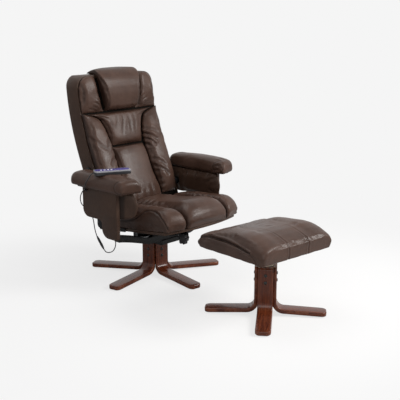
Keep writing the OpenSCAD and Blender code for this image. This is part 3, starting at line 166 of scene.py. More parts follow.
# The camera sees the floor glow, so that only the soft shadow darkens it; other rays meet a matt grey.
floor_paint = Finish("floor_paint")
matt = floor_paint.add("BsdfDiffuse", {}, {"Color": (bounce_tone,) * 3})
shaded = floor_paint.add("BsdfDiffuse", {}, {"Color": (floor_tone,) * 3})
glow = floor_paint.add("Emission", {}, {"Color": (1, 1, 1), "Strength": floor_glow})
near = floor_paint.add("AddShader", {}, {0: shaded, 1: glow})
far = floor_paint.add("Emission", {}, {"Color": paper, "Strength": 1.0})
away = floor_paint.add("VectorMath", {"operation": "LENGTH"}, {0: floor_paint.place()}, "Value")
ground = floor_paint.add("MixShader", {}, {0: away.band(fade_from, fade_to), 1: near, 2: far})
camera_ray = floor_paint.add("LightPath", {}, {}, "Is Camera Ray")
seen = floor_paint.add("MixShader", {}, {0: camera_ray, 1: matt, 2: ground})
floor_paint.feed(floor_paint.tree.nodes["Material Output"].inputs["Surface"], seen)
floor.data.materials.append(floor_paint.material)

# The paper is seen and mirrored as bright as it is, and lights the set as a dimmer room.
world = bpy.data.worlds.new("studio")
scene.world = world
world.use_nodes = True
sky = world.node_tree
path = sky.nodes.new("ShaderNodeLightPath")
sees_paper = path.outputs["Is Camera Ray"]
for ray in ("Is Transmission Ray", "Is Glossy Ray"):
    either = sky.nodes.new("ShaderNodeMath")
    either.operation = "MAXIMUM"
    sky.links.new(sees_paper, either.inputs[0])
    sky.links.new(path.outputs[ray], either.inputs[1])
    sees_paper = either.outputs[0]
tone = sky.nodes.new("ShaderNodeMix")
tone.data_type = "RGBA"
tone.inputs[6].default_value = (*room, 1)
tone.inputs[7].default_value = (*paper, 1)
sky.links.new(sees_paper, tone.inputs[0])
sky.links.new(tone.outputs[2], sky.nodes["Background"].inputs["Color"])


def lamp(name, place, aim, size, power):
    light = bpy.data.lights.new(name, "AREA")
    light.size = size
    light.energy = power
    light.color = (1.0, 0.985, 0.965)
    holder = bpy.data.objects.new(name, light)
    holder.location = place
    holder.rotation_euler = (Vector(aim) - Vector(place)).to_track_quat("-Z", "Y").to_euler()
    scene.collection.objects.link(holder)


lamp("key_lamp", (1.7, -2.7, 2.6), (0, 0.1, 0.45), size=1.6, power=140)
lamp("fill_lamp", (-3.2, -2.6, 2.4), (0, 0.1, 0.5), size=2.2, power=34)
lamp("top_lamp", (-0.4, 0.9, 3.4), (0, 0, 0.5), size=2.0, power=30)


# Cords: the handset's lead runs over the arm pad, through a clip on the arm board, and hangs to an inline
# connector; a second lead comes back up to the control box. Limp black PVC, 4.6 mm thick. Their routes
# are points chosen along the way, with y counted from the chair's axis.
def smooth_line(points, steps):
    """Points on a Catmull-Rom line through the given points."""
    p = np.array(points)
    p = np.vstack([p[:1], p, p[-1:]])
    line = []
    for a, b, c, d in zip(p[:-3], p[1:-2], p[2:-1], p[3:]):
        for u in np.arange(steps) / steps:
            line.append(b + (c - a) / 2 * u + (a - 2.5 * b + 2 * c - d / 2) * u ** 2
                        + (1.5 * (b - c) + (d - a) / 2) * u ** 3)
    line.append(p[-2])
    return np.array(line)


def add_piece(name, mesh):
    piece = bpy.data.objects.new(name, mesh)
    scene.collection.objects.link(piece)
    return piece


cord_d = 0.0046
cord_steps = 6
handset_route = [
    (-0.385, -0.003, 0.577), (-0.393, 0.001, 0.575), (-0.400, 0.009, 0.565), (-0.401, 0.022, 0.549),
    (-0.400, 0.040, 0.530), (-0.397, 0.055, 0.509), (-0.390, 0.068, 0.493), (-0.377, 0.080, 0.483),
    (-0.366, 0.088, 0.479), (-0.3595, 0.094, 0.478), (-0.3595, 0.102, 0.478), (-0.360, 0.113, 0.472),
    (-0.360, 0.124, 0.461), (-0.360, 0.134, 0.446), (-0.360, 0.139, 0.430), (-0.360, 0.138, 0.414),
    (-0.357, 0.134, 0.400), (-0.348, 0.131, 0.388), (-0.336, 0.128, 0.378), (-0.326, 0.121, 0.367),
    (-0.322, 0.109, 0.351), (-0.322, 0.098, 0.334), (-0.322, 0.091, 0.315), (-0.322, 0.086, 0.290),
    (-0.322, 0.079, 0.264), (-0.322, 0.068, 0.243)]
control_route = [
    (-0.322, 0.019, 0.188), (-0.322, 0.009, 0.180), (-0.322, -0.004, 0.177), (-0.322, -0.022, 0.180),
    (-0.322, -0.044, 0.190), (-0.322, -0.060, 0.206), (-0.322, -0.069, 0.226), (-0.322, -0.070, 0.246),
    (-0.322, -0.068, 0.262)]
rubber = Finish("cord_rubber", Base_Color=(0.012, 0.012, 0.013), Roughness=0.42)
scuffs = rubber.clouds(rubber.place(), 60, 5, 0.6)
rubber.roughness(scuffs.band(0.35, 0.7, 0.34, 0.52))
rubber.colour(rubber.blend(scuffs, (0.010, 0.010, 0.011), (0.024, 0.024, 0.026)))


def lead(name, route, node):
    line = smooth_line([(x, y + chair_y, z) for x, y, z in route], cord_steps)
    curve = bpy.data.curves.new(name, "CURVE")
    curve.dimensions = "3D"
    curve.bevel_depth = cord_d / 2
    curve.bevel_resolution = 5
    curve.use_fill_caps = True
    spline = curve.splines.new("POLY")
    spline.points.add(len(line) - 1)
    for point, place in zip(spline.points, line):
        point.co = (*place, 1)
    piece = add_piece(name, curve)
    wear(piece, rubber)
    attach(piece, "swivel")
    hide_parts(node)
    length = float(np.linalg.norm(np.diff(line, axis=0), axis=1).sum())
    return piece, line, length


def lathe(name, start, end, profile, sides=28):
    """A round piece from start to end; profile is [share of the length, radius]."""
    start, end = Vector(start), Vector(end)
    turn = (end - start).to_track_quat("Z", "Y").to_matrix()
    mesh = bpy.data.meshes.new(name)
    rings = []
    for share, radius in profile:
        middle = start.lerp(end, share)
        for k in range(sides):
            a = 2 * math.pi * k / sides
            rings.append(middle + turn @ Vector((radius * math.cos(a), radius * math.sin(a), 0)))
    faces = [tuple(range(sides))[::-1], tuple(range(len(rings) - sides, len(rings)))]
    for i in range(len(profile) - 1):
        for k in range(sides):
            a, b = i * sides + k, i * sides + (k + 1) % sides
            faces.append((a, b, b + sides, a + sides))
    mesh.from_pydata(rings, [], faces)
    for face in mesh.polygons:
        face.use_smooth = len(face.vertices) == 4
    return add_piece(name, mesh)


handset_lead, handset_line, handset_length = lead("handset_lead", handset_route, "handset_cord")
control_lead, control_line, control_length = lead("control_lead", control_route, "control_cord")

# Inline connector: two mated barrels of black plastic, each moulded in one with a ribbed strain relief
# that grips its lead. Its two halves are alike.
barrel = 0.006
relief = 0.0033
relief_growth = 0.00021
rib = 0.0007
ribs_start = 0.03
ribs_run = 0.19
rib_steps = 10
ribs = [(ribs_start + ribs_run * i / rib_steps, relief + relief_growth * i + (rib if i % 2 else 0))
        for i in range(rib_steps + 1)]
barrel_cuts = ((0.235, 0.0009), (0.25, 0.0002), (0.27, 0), (0.30, 0), (0.305, 0.0005), (0.315, 0.0005),
               (0.32, 0), (0.47, 0), (0.488, 0.0004), (0.49, 0.0016))
half_profile = [(0, relief - 0.0004)] + ribs + [(share, barrel - cut) for share, cut in barrel_cuts]
profile = half_profile + [(1 - share, radius) for share, radius in reversed(half_profile)]
connector = lathe("cord_joint", handset_line[-1], control_line[0], profile)
plastic = Finish("black_plastic", Base_Color=(0.012, 0.012, 0.013), Roughness=0.4, Specular_IOR_Level=0.3)
grain = plastic.clouds(plastic.place(), 900, 3, 0.6)
plastic.relief(grain, 0.25, 0.0003)
plastic.roughness(plastic.clouds(plastic.place(), 45, 4).band(0.35, 0.7, 0.36, 0.50))
plastic.colour(plastic.blend(grain, (0.011, 0.011, 0.012), (0.02, 0.02, 0.021)))
wear(connector, plastic)
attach(connector, "swivel")
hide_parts("cord_connector")


# Legs: strips of laminated beech bent at the foot of the post, stained cherry and lacquered, five under
# the chair and four under the stool. Each is swept along its side line, round at its edges and its tip.
wood = Finish("cherry_wood", Roughness=0.2, Coat_Weight=0.10, Coat_Roughness=0.08, IOR=1.35,
              Specular_IOR_Level=0.45)
grain_at = wood.attribute("grain", "Vector")
streak_at, pore_at = (wood.add("VectorMath", {"operation": "MULTIPLY"}, {0: grain_at, 1: stretch})
                      for stretch in ((1.2, 14, 14), (6, 190, 190)))
streak = wood.clouds(streak_at, 9, 6, 0.6, 0.4)
pore = wood.clouds(pore_at, 5, 3, 0.5)
depth = wood.add("SeparateXYZ", {}, {"Vector": grain_at}, 2)
plies_per_metre = 250
ply = (depth * plies_per_metre).maths("PINGPONG", 0.5) * 2
glue_line = ply.band(0.86, 0.99)
stain = wood.blend(streak.band(0.32, 0.68), (0.062, 0.0125, 0.0050), (0.142, 0.034, 0.0125))
stain = wood.blend(pore.band(0.54, 0.72) * 0.55, stain, (0.022, 0.005, 0.0026))
stain = wood.blend(glue_line * 0.45, stain, (0.03, 0.007, 0.004))
worn = wood.attribute("rub") * wood.clouds(wood.place(), 30, 3).band(0.4, 0.65)
wood.colour(wood.blend(worn * 0.35, stain, (0.30, 0.10, 0.045)))
wood.roughness(streak.band(0.3, 0.7, 0.17, 0.27) + worn * 0.1)
wood.relief(pore * 0.5 + streak, 0.10, 0.0008)

leg_w = 0.068
leg_t = 0.020
bend_r = 0.035
leg_rise = 0.008
tip_r = 0.024
edge_r = 0.0045
felt_t = 0.003
mitre_gap = 0.0004
narrowest = 0.003
tip_half = 0.004
post_steps = 10
bend_steps = 16
edge_steps = 5
worn_from = 0.86
worn_rate = 7
foot_shares = (0.1, 0.22, 0.34, 0.46, 0.58, 0.68, 0.76, 0.82, 0.86, 0.90, 0.93, 0.955, 0.975, 0.988,
               0.996, 1)


def leg_side(reach, post_r, post_h):
    """The line of a leg's outer and upper face, as (distance from the axis, height)."""
    slope = math.atan2(leg_rise, reach - post_r - bend_r)
    bend_mid = (post_r + bend_r, felt_t + leg_rise + leg_t + bend_r)
    line = [(post_r, post_h + (bend_mid[1] - post_h) * i / post_steps) for i in range(post_steps)]
    for i in range(bend_steps + 1):
        a = math.pi + (math.pi / 2 - slope) * i / bend_steps
        line.append((bend_mid[0] + bend_r * math.cos(a), bend_mid[1] + bend_r * math.sin(a)))
    foot = line[-1]
    run = reach - foot[0]
    for share in foot_shares:
        line.append((foot[0] + run * share, foot[1] - run * share * math.tan(slope)))
    return np.array(line)


def quarter(radius, ahead):
    """How much a rounded end of that radius takes off, this far behind its foremost point."""
    return radius - math.sqrt(max(radius ** 2 - (radius - ahead) ** 2, 0)) if ahead < radius else 0


def leg(name, axis, azimuth, reach, post_r, post_h, count):
    line = leg_side(reach, post_r, post_h)
    along = np.concatenate([[0], np.cumsum(np.linalg.norm(np.diff(line, axis=0), axis=1))])
    way = np.gradient(line, axis=0)
    way /= np.linalg.norm(way, axis=1)[:, None]
    down = np.column_stack([way[:, 1], -way[:, 0]])
    rings, grain, rubs = [], [], []
    mitre = math.tan(math.pi / count)
    for place, s, side in zip(line, along, down):
        half = max(leg_w / 2 - quarter(tip_r, reach - place[0]), tip_half)
        shrink = quarter(edge_r, reach - place[0])
        outline = []
        for cx, cz, start in ((half - edge_r, edge_r, 0), (edge_r - half, edge_r, 90),
                              (edge_r - half, leg_t - edge_r, 180), (half - edge_r, leg_t - edge_r, 270)):
            for k in range(edge_steps + 1):
                a = math.radians(start + 90 * k / edge_steps)
                outline.append((cx + edge_r * math.cos(a), cz - edge_r * math.sin(a)))
        for across, deep in outline:
            deep = min(max(deep, shrink), leg_t - shrink)
            r = place[0] + side[0] * deep
            z = place[1] + side[1] * deep
            room = max(r * mitre - mitre_gap, narrowest)
            across = max(-room, min(room, across))
            rings.append((r, across, z))
            grain.append((s, across, deep))
            rubs.append(max(0, abs(across) / half - worn_from) * worn_rate)
    size = 4 * (edge_steps + 1)
    faces = [tuple(range(size)), tuple(range(len(rings) - size, len(rings)))[::-1]]
    for i in range(len(line) - 1):
        for k in range(size):
            a, b = i * size + k, i * size + (k + 1) % size
            faces.append((a, a + size, b + size, b))
    turn = math.radians(azimuth)
    mesh = bpy.data.meshes.new(name)
    mesh.from_pydata([(axis[0] + r * math.cos(turn) - t * math.sin(turn),
                       axis[1] + r * math.sin(turn) + t * math.cos(turn), z) for r, t, z in rings], [], faces)
    for face in mesh.polygons:
        face.use_smooth = len(face.vertices) == 4
    shift = sum(ord(letter) for letter in name) % 17
    grain = np.array(grain) + (0.7 * shift, 0.13 * shift, 0)
    mesh.attributes.new("grain", "FLOAT_VECTOR", "POINT").data.foreach_set("vector", grain.ravel())
    mesh.attributes.new("rub", "FLOAT", "POINT").data.foreach_set("value", np.clip(rubs, 0, 1))
    piece = add_piece(name, mesh)
    wear(piece, wood)
    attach(piece, "base")
    return piece


chair_axis = (0, chair_y)
chair_legs = 5
chair_leg_turn = -26
stool_axis = (-0.057, chair_y - 0.773)
stool_legs = 4
stool_leg_turn = -53
for i in range(chair_legs):
    piece = leg(f"bent_chair_leg_{i + 1}", chair_axis, chair_leg_turn + 360 / chair_legs * i, reach=0.345,
                post_r=0.058, post_h=0.171, count=chair_legs)
    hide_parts(f"chair_leg_{i + 1}")
for i in range(stool_legs):
    piece = leg(f"bent_stool_leg_{i + 1}", stool_axis, stool_leg_turn + 360 / stool_legs * i, reach=0.271,
                post_r=0.049, post_h=0.226, count=stool_legs)
    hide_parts(f"stool_leg_{i + 1}")


# Frames and fittings: powder-coated steel frames, zinc-plated spindles, black domed bolts, moulded bushes,
# felt glides, a plywood board and motors in tin cases, bolted together under the covers. Their solids
# are as the real pieces, so these nodes stay as they are and get a finish and eased edges.
weld_gap = 0.00002


def eased(names, radius, steps=2):
    for name in names:
        node = nodes[name]
        joined = node.modifiers.new("weld", "WELD")
        joined.merge_threshold = weld_gap
        bevel = node.modifiers.new("eased_edges", "BEVEL")
        bevel.width = radius
        bevel.segments = steps
        bevel.limit_method = "ANGLE"
        bevel.angle_limit = math.radians(35)
        bevel.harden_normals = True
        node.data.shade_smooth()


def finish_nodes(names, finish, radius, steps=2):
    for name in names:
        wear(nodes[name], finish)
    eased(names, radius, steps)


steel = Finish("black_steel", Base_Color=(0.009, 0.009, 0.0095), Roughness=0.36, Specular_IOR_Level=0.22)
peel = steel.clouds(steel.place(), 650, 2, 0.5)
dust = steel.clouds(steel.place(), 14, 5, 0.62)
steel.colour(steel.blend(dust.band(0.42, 0.72), (0.006, 0.006, 0.0065), (0.017, 0.016, 0.016)))
steel.roughness(dust.band(0.3, 0.75, 0.30, 0.46))
steel.relief(peel, 0.16, 0.0004)
finish_nodes(["chair_core", "stool_core", "swivel_tray", "arm_cross_bar", "seat_rails", "pivot_posts",
              "lock_bracket", "back_brackets", "seat_subframe"], steel, 0.0012)

zinc = Finish("zinc_steel", Metallic=1.0, Roughness=0.28)
haze = zinc.clouds(zinc.place(stretch=(1, 1, 12)), 55, 5, 0.6)
zinc.colour(zinc.blend(haze, (0.42, 0.43, 0.44), (0.62, 0.63, 0.64)))
zinc.roughness(haze.band(0.3, 0.7, 0.22, 0.42))
zinc.relief(haze, 0.05, 0.0003)
finish_nodes(["chair_spindle", "stool_spindle", "arm_bolts"], zinc, 0.0008)

bolt_black = Finish("black_bolts", Base_Color=(0.012, 0.011, 0.011), Roughness=0.3, Metallic=0.6)
smear = bolt_black.clouds(bolt_black.place(), 210, 4)
bolt_black.roughness(smear.band(0.3, 0.7, 0.24, 0.44))
bolt_black.colour(bolt_black.blend(smear, (0.02, 0.019, 0.019), (0.045, 0.042, 0.04)))
finish_nodes(["chair_leg_bolts", "stool_leg_bolts"], bolt_black, 0.0004)

nylon = Finish("bush_nylon", Base_Color=(0.62, 0.61, 0.57), Roughness=0.45)
nylon.roughness(nylon.clouds(nylon.place(), 80, 3).band(0.3, 0.7, 0.4, 0.55))
nylon.colour(nylon.blend(nylon.clouds(nylon.place(), 25, 4), (0.55, 0.54, 0.50), (0.66, 0.65, 0.61)))
finish_nodes(["chair_bush", "stool_bush"], nylon, 0.0006)

felt = Finish("glide_felt", Base_Color=(0.03, 0.03, 0.03), Roughness=0.95)
fibre = felt.clouds(felt.place(), 1400, 4, 0.7)
felt.colour(felt.blend(fibre, (0.02, 0.02, 0.02), (0.06, 0.06, 0.058)))
felt.relief(fibre, 0.5, 0.0005)
for name in ("chair_glides", "stool_glides"):
    wear(nodes[name], felt)

birch = Finish("plywood", Base_Color=(0.5, 0.36, 0.22), Roughness=0.6)
figure = birch.clouds(birch.place(stretch=(2, 40, 40)), 4, 6, 0.6, 0.3)
birch.colour(birch.blend(figure.band(0.3, 0.7), (0.42, 0.28, 0.15), (0.60, 0.45, 0.28)))
birch.relief(figure, 0.1, 0.0006)
finish_nodes(["stool_board"], birch, 0.0008)

tin = Finish("motor_case", Base_Color=(0.5, 0.5, 0.5), Metallic=1.0, Roughness=0.4)
tin.roughness(tin.clouds(tin.place(), 90, 4).band(0.3, 0.7, 0.32, 0.5))
finish_nodes(["back_motors"], tin, 0.0012)


# Leather covers: semi-gloss, lightly grained cow hide in chocolate brown, cut in panels, sewn with plain
# seams and filled with fibre and foam. What is stretched over boards is darker and duller, and on the inner
# arm pads that darkness is painted shade. A point attribute says how much shade is painted at each point,
# from 0 to 1: in creases and seams, on faces turned from the light and in gaps beside the pads.
def hide(name, dark, light, gloss=0.33):
    leather = Finish(name, Roughness=gloss, IOR=1.3, Specular_IOR_Level=0.5)
    here = leather.place()
    pebble = leather.cells(here, 620, "SMOOTH_F1")
    fine = leather.cells(here, 1500)
    mottle = leather.clouds(here, 7, 6, 0.62, 0.5)
    small = leather.clouds(here, 48, 4, 0.6)
    painted_shade = leather.attribute("painted_shade")
    tone = leather.blend(mottle.band(0.3, 0.7) * 0.75 + small.band(0.3, 0.75) * 0.25, dark, light)
    # Painted shade: the tone darkens towards a sixth of the dark tone as far as the shade attribute says.
    tone = leather.blend(painted_shade * 0.85, tone, tuple(c * 0.16 for c in dark))
    leather.colour(leather.blend(pebble.band(0.0, 0.35, 0.22, 0.0), tone, tuple(c * 0.5 for c in dark)))
    leather.roughness(mottle.band(0.3, 0.7, gloss - 0.05, gloss + 0.08) + painted_shade * 0.2)
    leather.relief(pebble * 0.8 + fine * 0.3 + small * 0.9 + mottle * 1.5, 0.22, 0.0012)
    return leather


cushion_hide = hide("cushion_leather", (0.047, 0.0245, 0.0170), (0.080, 0.0435, 0.0312))
# A darker, duller copy of the leather: on the boards, and on the inner arm pads, where its darkness is
# painted shade.
board_and_shade_hide = hide("board_and_shade_leather", (0.038, 0.0200, 0.0130), (0.060, 0.0330, 0.0215), 0.42)


def coords(piece):
    found = np.empty(len(piece.data.vertices) * 3)
    piece.data.vertices.foreach_get("co", found)
    return found.reshape(-1, 3)


def normals(piece):
    found = np.empty(len(piece.data.vertices) * 3)
    piece.data.vertex_normals.foreach_get("vector", found)
    return found.reshape(-1, 3)


def move(piece, places):
    piece.data.vertices.foreach_set("co", np.asarray(places, float).ravel())
    piece.data.update()


def push_out(piece, far, out=None):
    """Moves each point by its own distance, outwards or along the directions in out."""
    out = normals(piece) if out is None else out
    move(piece, coords(piece) + out * far[:, None])


def settle(piece):
    """Applies the piece's modifiers."""
    bpy.context.view_layer.update()
    made = bpy.data.meshes.new_from_object(piece.evaluated_get(bpy.context.evaluated_depsgraph_get()))
    piece.modifiers.clear()
    piece.data = made


def ripple(places, size, seed):
    """Smooth noise from about -1 to 1 with lumps of that size."""
    draw = np.random.default_rng(seed)
    total = np.zeros(len(places))
    wave_count = 7
    for _ in range(wave_count):
        way = draw.normal(size=places.shape[1])
        way *= 2 * math.pi / (size * draw.uniform(1.4, 2.8) * np.linalg.norm(way))
        total += np.sin(places @ way + draw.uniform(0, 2 * math.pi))
    return total / 4


def weld(piece):
    shell = bmesh.new()
    shell.from_mesh(piece.data)
    bmesh.ops.remove_doubles(shell, verts=shell.verts, dist=weld_gap)
    bmesh.ops.recalc_face_normals(shell, faces=shell.faces)
    shell.to_mesh(piece.data)
    shell.free()


cover_mesh = 0.007
tuck = 0.003
least_swell = 0.0005
filling_pressure = 4.0
cloth_frames = 15


def stuffed(name, node, body, flat=None, most=0.008, warp=None, cover=cushion_hide):
    """A node's solid, taken in a little and blown up as the filling fills its cover.

    flat is the direction of the face that rests on something and doesn't swell, most is how far the
    rest may swell, and warp moves the points to the neighbours' seams."""
    piece = add_piece(name, nodes[node].data.copy())
    weld(piece)
    mesh = piece.modifiers.new("mesh", "REMESH")
    mesh.mode = "VOXEL"
    mesh.voxel_size = cover_mesh
    settle(piece)
    soft = piece.modifiers.new("soft", "SMOOTH")
    soft.factor = 0.5
    soft.iterations = 3
    settle(piece)
    start = coords(piece)
    out = normals(piece)
    rests = np.zeros(len(start))
    if flat is not None:
        rests = np.clip((out @ np.array(flat) - 0.5) / 0.3, 0, 1)
    start -= out * (tuck * (1 - rests))[:, None]
    move(piece, start)
    cloth = piece.modifiers.new("cloth", "CLOTH")
    cloth.settings.quality = 4
    cloth.settings.mass = 0.3
    cloth.settings.tension_stiffness = 12
    cloth.settings.compression_stiffness = 12
    cloth.settings.shear_stiffness = 4
    cloth.settings.bending_stiffness = 0.6
    cloth.settings.use_pressure = True
    cloth.settings.uniform_pressure_force = filling_pressure
    cloth.settings.effector_weights.gravity = 0
    cloth.collision_settings.use_collision = False
    cloth.collision_settings.use_self_collision = False
    for step in range(1, cloth_frames + 1):
        scene.frame_set(step)
    settle(piece)
    scene.frame_set(1)
    swell = np.sum((coords(piece) - start) * out, axis=1)
    swell = np.clip(swell, least_swell, most) * (1 - rests)
    start += out * swell[:, None]
    move(piece, start if warp is None else warp(start))
    rounder = piece.modifiers.new("rounder", "SUBSURF")
    rounder.levels = 1
    rounder.render_levels = 1
    settle(piece)
    piece.data.shade_smooth()
    wear(piece, cover)
    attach(piece, body)
    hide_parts(node)
    return piece


def paint_shade(piece, amount):
    """Sets how much shade is painted on the leather at each point, where that is more than what is there."""
    amount = np.clip(amount, 0, 1).astype(np.float32)
    if "painted_shade" in piece.data.attributes:
        kept = np.empty(len(amount), np.float32)
        piece.data.attributes["painted_shade"].data.foreach_get("value", kept)
        amount = np.maximum(amount, kept)
    else:
        piece.data.attributes.new("painted_shade", "FLOAT", "POINT")
    piece.data.attributes["painted_shade"].data.foreach_set("value", amount)


def near_line(flat_places, line):
    """How far each 2-D place is from a line of points, and how far along it, from 0 to 1."""
    line = np.array(line, float)
    best = np.full(len(flat_places), np.inf)
    along = np.zeros(len(flat_places))
    steps = np.linalg.norm(np.diff(line, axis=0), axis=1)
    total = steps.sum()
    gone = 0
    for a, b, step in zip(line[:-1], line[1:], steps):
        u = np.clip((flat_places - a) @ (b - a) / step ** 2, 0, 1)
        gap = np.linalg.norm(flat_places - a - u[:, None] * (b - a), axis=1)
        closer = gap < best
        best[closer] = gap[closer]
        along[closer] = (gone + u[closer] * step) / total
        gone += step
    return best, along


def crease(piece, flat_places, line, width, deep, lip=0.35, fade=True, where=None, dark=1.0):
    """Presses a crease along a line into the piece, raises its lips and paints shade into its valley, as
    strong as dark says; fade lets both ends run out.
    """
    gap, along = near_line(flat_places, line)
    taper = np.sin(np.clip(along, 0, 1) * math.pi) ** 0.5 if fade else np.ones(len(gap))
    if where is not None:
        taper = taper * where
    valley = np.exp(-(gap / width) ** 2)
    lips = np.exp(-((gap - 2.1 * width) / width) ** 2)
    push_out(piece, (-deep * valley + deep * lip * lips) * taper)
    paint_shade(piece, np.exp(-(gap / (0.8 * width)) ** 2) * taper * dark)


# Back: an upholstered box on the recline brackets. Its cover is sewn from a lumbar panel, an upper panel
# whose corners run out to the sides, two puffed bolsters, two wings and a pillow over the top. Heights
# are above the floor, and the panels' seams stand panel_x from the middle at the heights panel_z.
back_t = np.linspace(0, 1, 240)
back_curve = np.array([(0.070, 0.335), (0.165, 0.570), (0.270, 0.720), (0.280, 0.998)])
back_shares = ((1 - back_t) ** 3, 3 * back_t * (1 - back_t) ** 2, 3 * back_t ** 2 * (1 - back_t), back_t ** 3)
back_side = sum(share[:, None] * point for share, point in zip(back_shares, back_curve))
back_half = 0.250
back_top = 0.998
back_corner = 0.065
panel_z = [0.33, 0.430, 0.530, 0.650, 0.712, 0.776, 0.8045, 0.815]
panel_x = [0.133, 0.123, 0.110, 0.106, 0.116, 0.143, 0.157, 0.162]
flare_z = 0.772
flare_h = 0.036
flare_share = 0.5
upper_seam_z = 0.78
wing_seam_z = 0.86
seam_h = 0.035
seam_closes = 0.005


def flare(z):
    """How many times wider the upper panel is than its CAD solid, towards its top corners."""
    return 1 + flare_share * np.clip((z - flare_z) / flare_h, 0, 1) ** 2


def raise_to_seam(places):
    places[:, 2] += seam_closes * np.clip((places[:, 2] - upper_seam_z) / seam_h, 0, 1)
    return places


def flare_panel(places):
    places[:, 0] *= flare(places[:, 2])
    return raise_to_seam(places)


def flare_bolster(places):
    inner = np.interp(places[:, 2], panel_z, panel_x)
    moved = np.minimum(inner * flare(places[:, 2]), back_half - 0.006)
    share = np.clip((back_half - np.abs(places[:, 0])) / (back_half - inner), 0, 1.05)
    places[:, 0] = np.sign(places[:, 0]) * (back_half - share * (back_half - moved))
    return raise_to_seam(places)


def drop_wing(places):
    places[:, 2] -= seam_closes * np.clip((wing_seam_z - places[:, 2]) / seam_h, 0, 1)
    return places


forwards = (0, -1, 0)
backwards = (0, 1, 0)
rightwards = (-1, 0, 0)
leftwards = (1, 0, 0)


def face_on(piece, *ways):
    """1 on the faces that look one of those ways, 0 on those that look aside."""
    out = normals(piece)
    return np.clip(sum(np.clip(out @ np.array(way) * 2.5, 0, 1) for way in ways), 0, 1)


lumbar = stuffed("lumbar_panel", "lumbar_cushion", "back", flat=(0, 1, 0.3))
front = coords(lumbar)[:, [0, 2]]
facing = face_on(lumbar, forwards)
for x, z, lean in ((-0.062, 0.37, 0.02), (0.055, 0.38, -0.015), (0.0, 0.36, 0.0)):
    crease(lumbar, front, [(x, z), (x + lean, z + 0.07)], width=0.010, deep=0.0016, where=facing, dark=0.15)

upper = stuffed("upper_panel", "upper_back_cushion", "back", flat=backwards, warp=flare_panel)
front = coords(upper)[:, [0, 2]]
facing = face_on(upper, forwards)
folds = (((-0.050, 0.800), (-0.056, 0.765), (-0.074, 0.722), 0.0010),
         ((-0.010, 0.800), (-0.014, 0.765), (-0.042, 0.690), 0.0010),
         ((0.022, 0.798), (0.030, 0.755), (0.024, 0.700), 0.0010),
         ((0.060, 0.798), (0.066, 0.752), (0.052, 0.712), 0.0010),
         ((-0.095, 0.790), (-0.092, 0.760), (-0.088, 0.735), 0.0006),
         ((0.096, 0.786), (0.088, 0.748), (0.086, 0.718), 0.0006))
for *line, deep in folds:
    crease(upper, front, line, width=0.007, deep=deep, where=facing, dark=0.3)
corner_folds = (((0.12, 0.792), (0.17, 0.800)), ((0.10, 0.780), (0.152, 0.793)),
                ((0.125, 0.772), (0.146, 0.782)))
for side in (-1, 1):
    for line in corner_folds:
        crease(upper, front, [(side * x, z) for x, z in line], width=0.005, deep=0.0025, where=facing,
               dark=0.4)

# The bolsters are gathered along the panels' seams, most at the sitter's left shoulder.
bolsters = stuffed("side_bolsters", "back_bolsters", "back", flat=backwards, most=0.010,
                   warp=flare_bolster)
front = coords(bolsters)[:, [0, 2]]
facing = face_on(bolsters, forwards, rightwards, leftwards)
draw = np.random.default_rng(11)
tuft_count = 9
tuft_z = 0.40
tuft_step = 0.030
for step in range(tuft_count):
    z = tuft_z + tuft_step * step + draw.uniform(-0.010, 0.010)
    edge = np.interp(z, panel_z, panel_x) * flare(z) + 0.003
    reach = draw.uniform(0.018, 0.046)
    rise = draw.uniform(-0.004, 0.016)
    side = 1 if step % 2 else -1
    for way, scale in ((side, 1.0), (-side, 0.7)):
        tuft = [(way * edge, z), (way * (edge + reach * scale), z + rise)]
        crease(bolsters, front, tuft, width=0.0070, deep=0.0020 * scale, lip=0.5, where=facing, dark=0.3)
gathers = (((0.100, 0.688), (0.140, 0.676), (0.172, 0.648), 0.0066),
           ((0.100, 0.664), (0.136, 0.650), (0.156, 0.622), 0.0066),
           ((0.102, 0.640), (0.138, 0.618), 0.0050),
           ((0.108, 0.712), (0.156, 0.704), (0.196, 0.684), 0.0030),
           ((-0.118, 0.700), (-0.150, 0.672), (-0.166, 0.640), 0.0020),
           ((-0.160, 0.636), (-0.200, 0.662), (-0.240, 0.706), 0.0018),
           ((-0.128, 0.600), (-0.160, 0.585), (-0.178, 0.560), 0.0030),
           ((0.128, 0.556), (0.160, 0.540), (0.180, 0.510), 0.0036),
           ((0.130, 0.520), (0.164, 0.500), (0.182, 0.470), 0.0036),
           ((-0.13, 0.535), (-0.165, 0.515), 0.0030))
for *line, deep in gathers:
    crease(bolsters, front, line, width=0.0085, deep=deep, lip=0.55, where=facing, dark=0.45)
rim_folds = (((0.246, 0.790), (0.240, 0.76), (0.243, 0.715)), ((0.243, 0.715), (0.235, 0.68), (0.240, 0.640)),
             ((0.228, 0.780), (0.222, 0.745), (0.226, 0.70)))
for line in rim_folds:
    for side in (-1, 1):
        crease(bolsters, front, [(side * x, z) for x, z in line], width=0.006, deep=0.0020, lip=0.6,
               where=facing, dark=0.5)
# Painted shade darkens the bolsters' outer rims.
rim_x = 0.236
rim_w = 0.006
paint_shade(bolsters, np.clip((np.abs(coords(bolsters)[:, 0]) - rim_x) / rim_w, 0, 1) * 0.8)
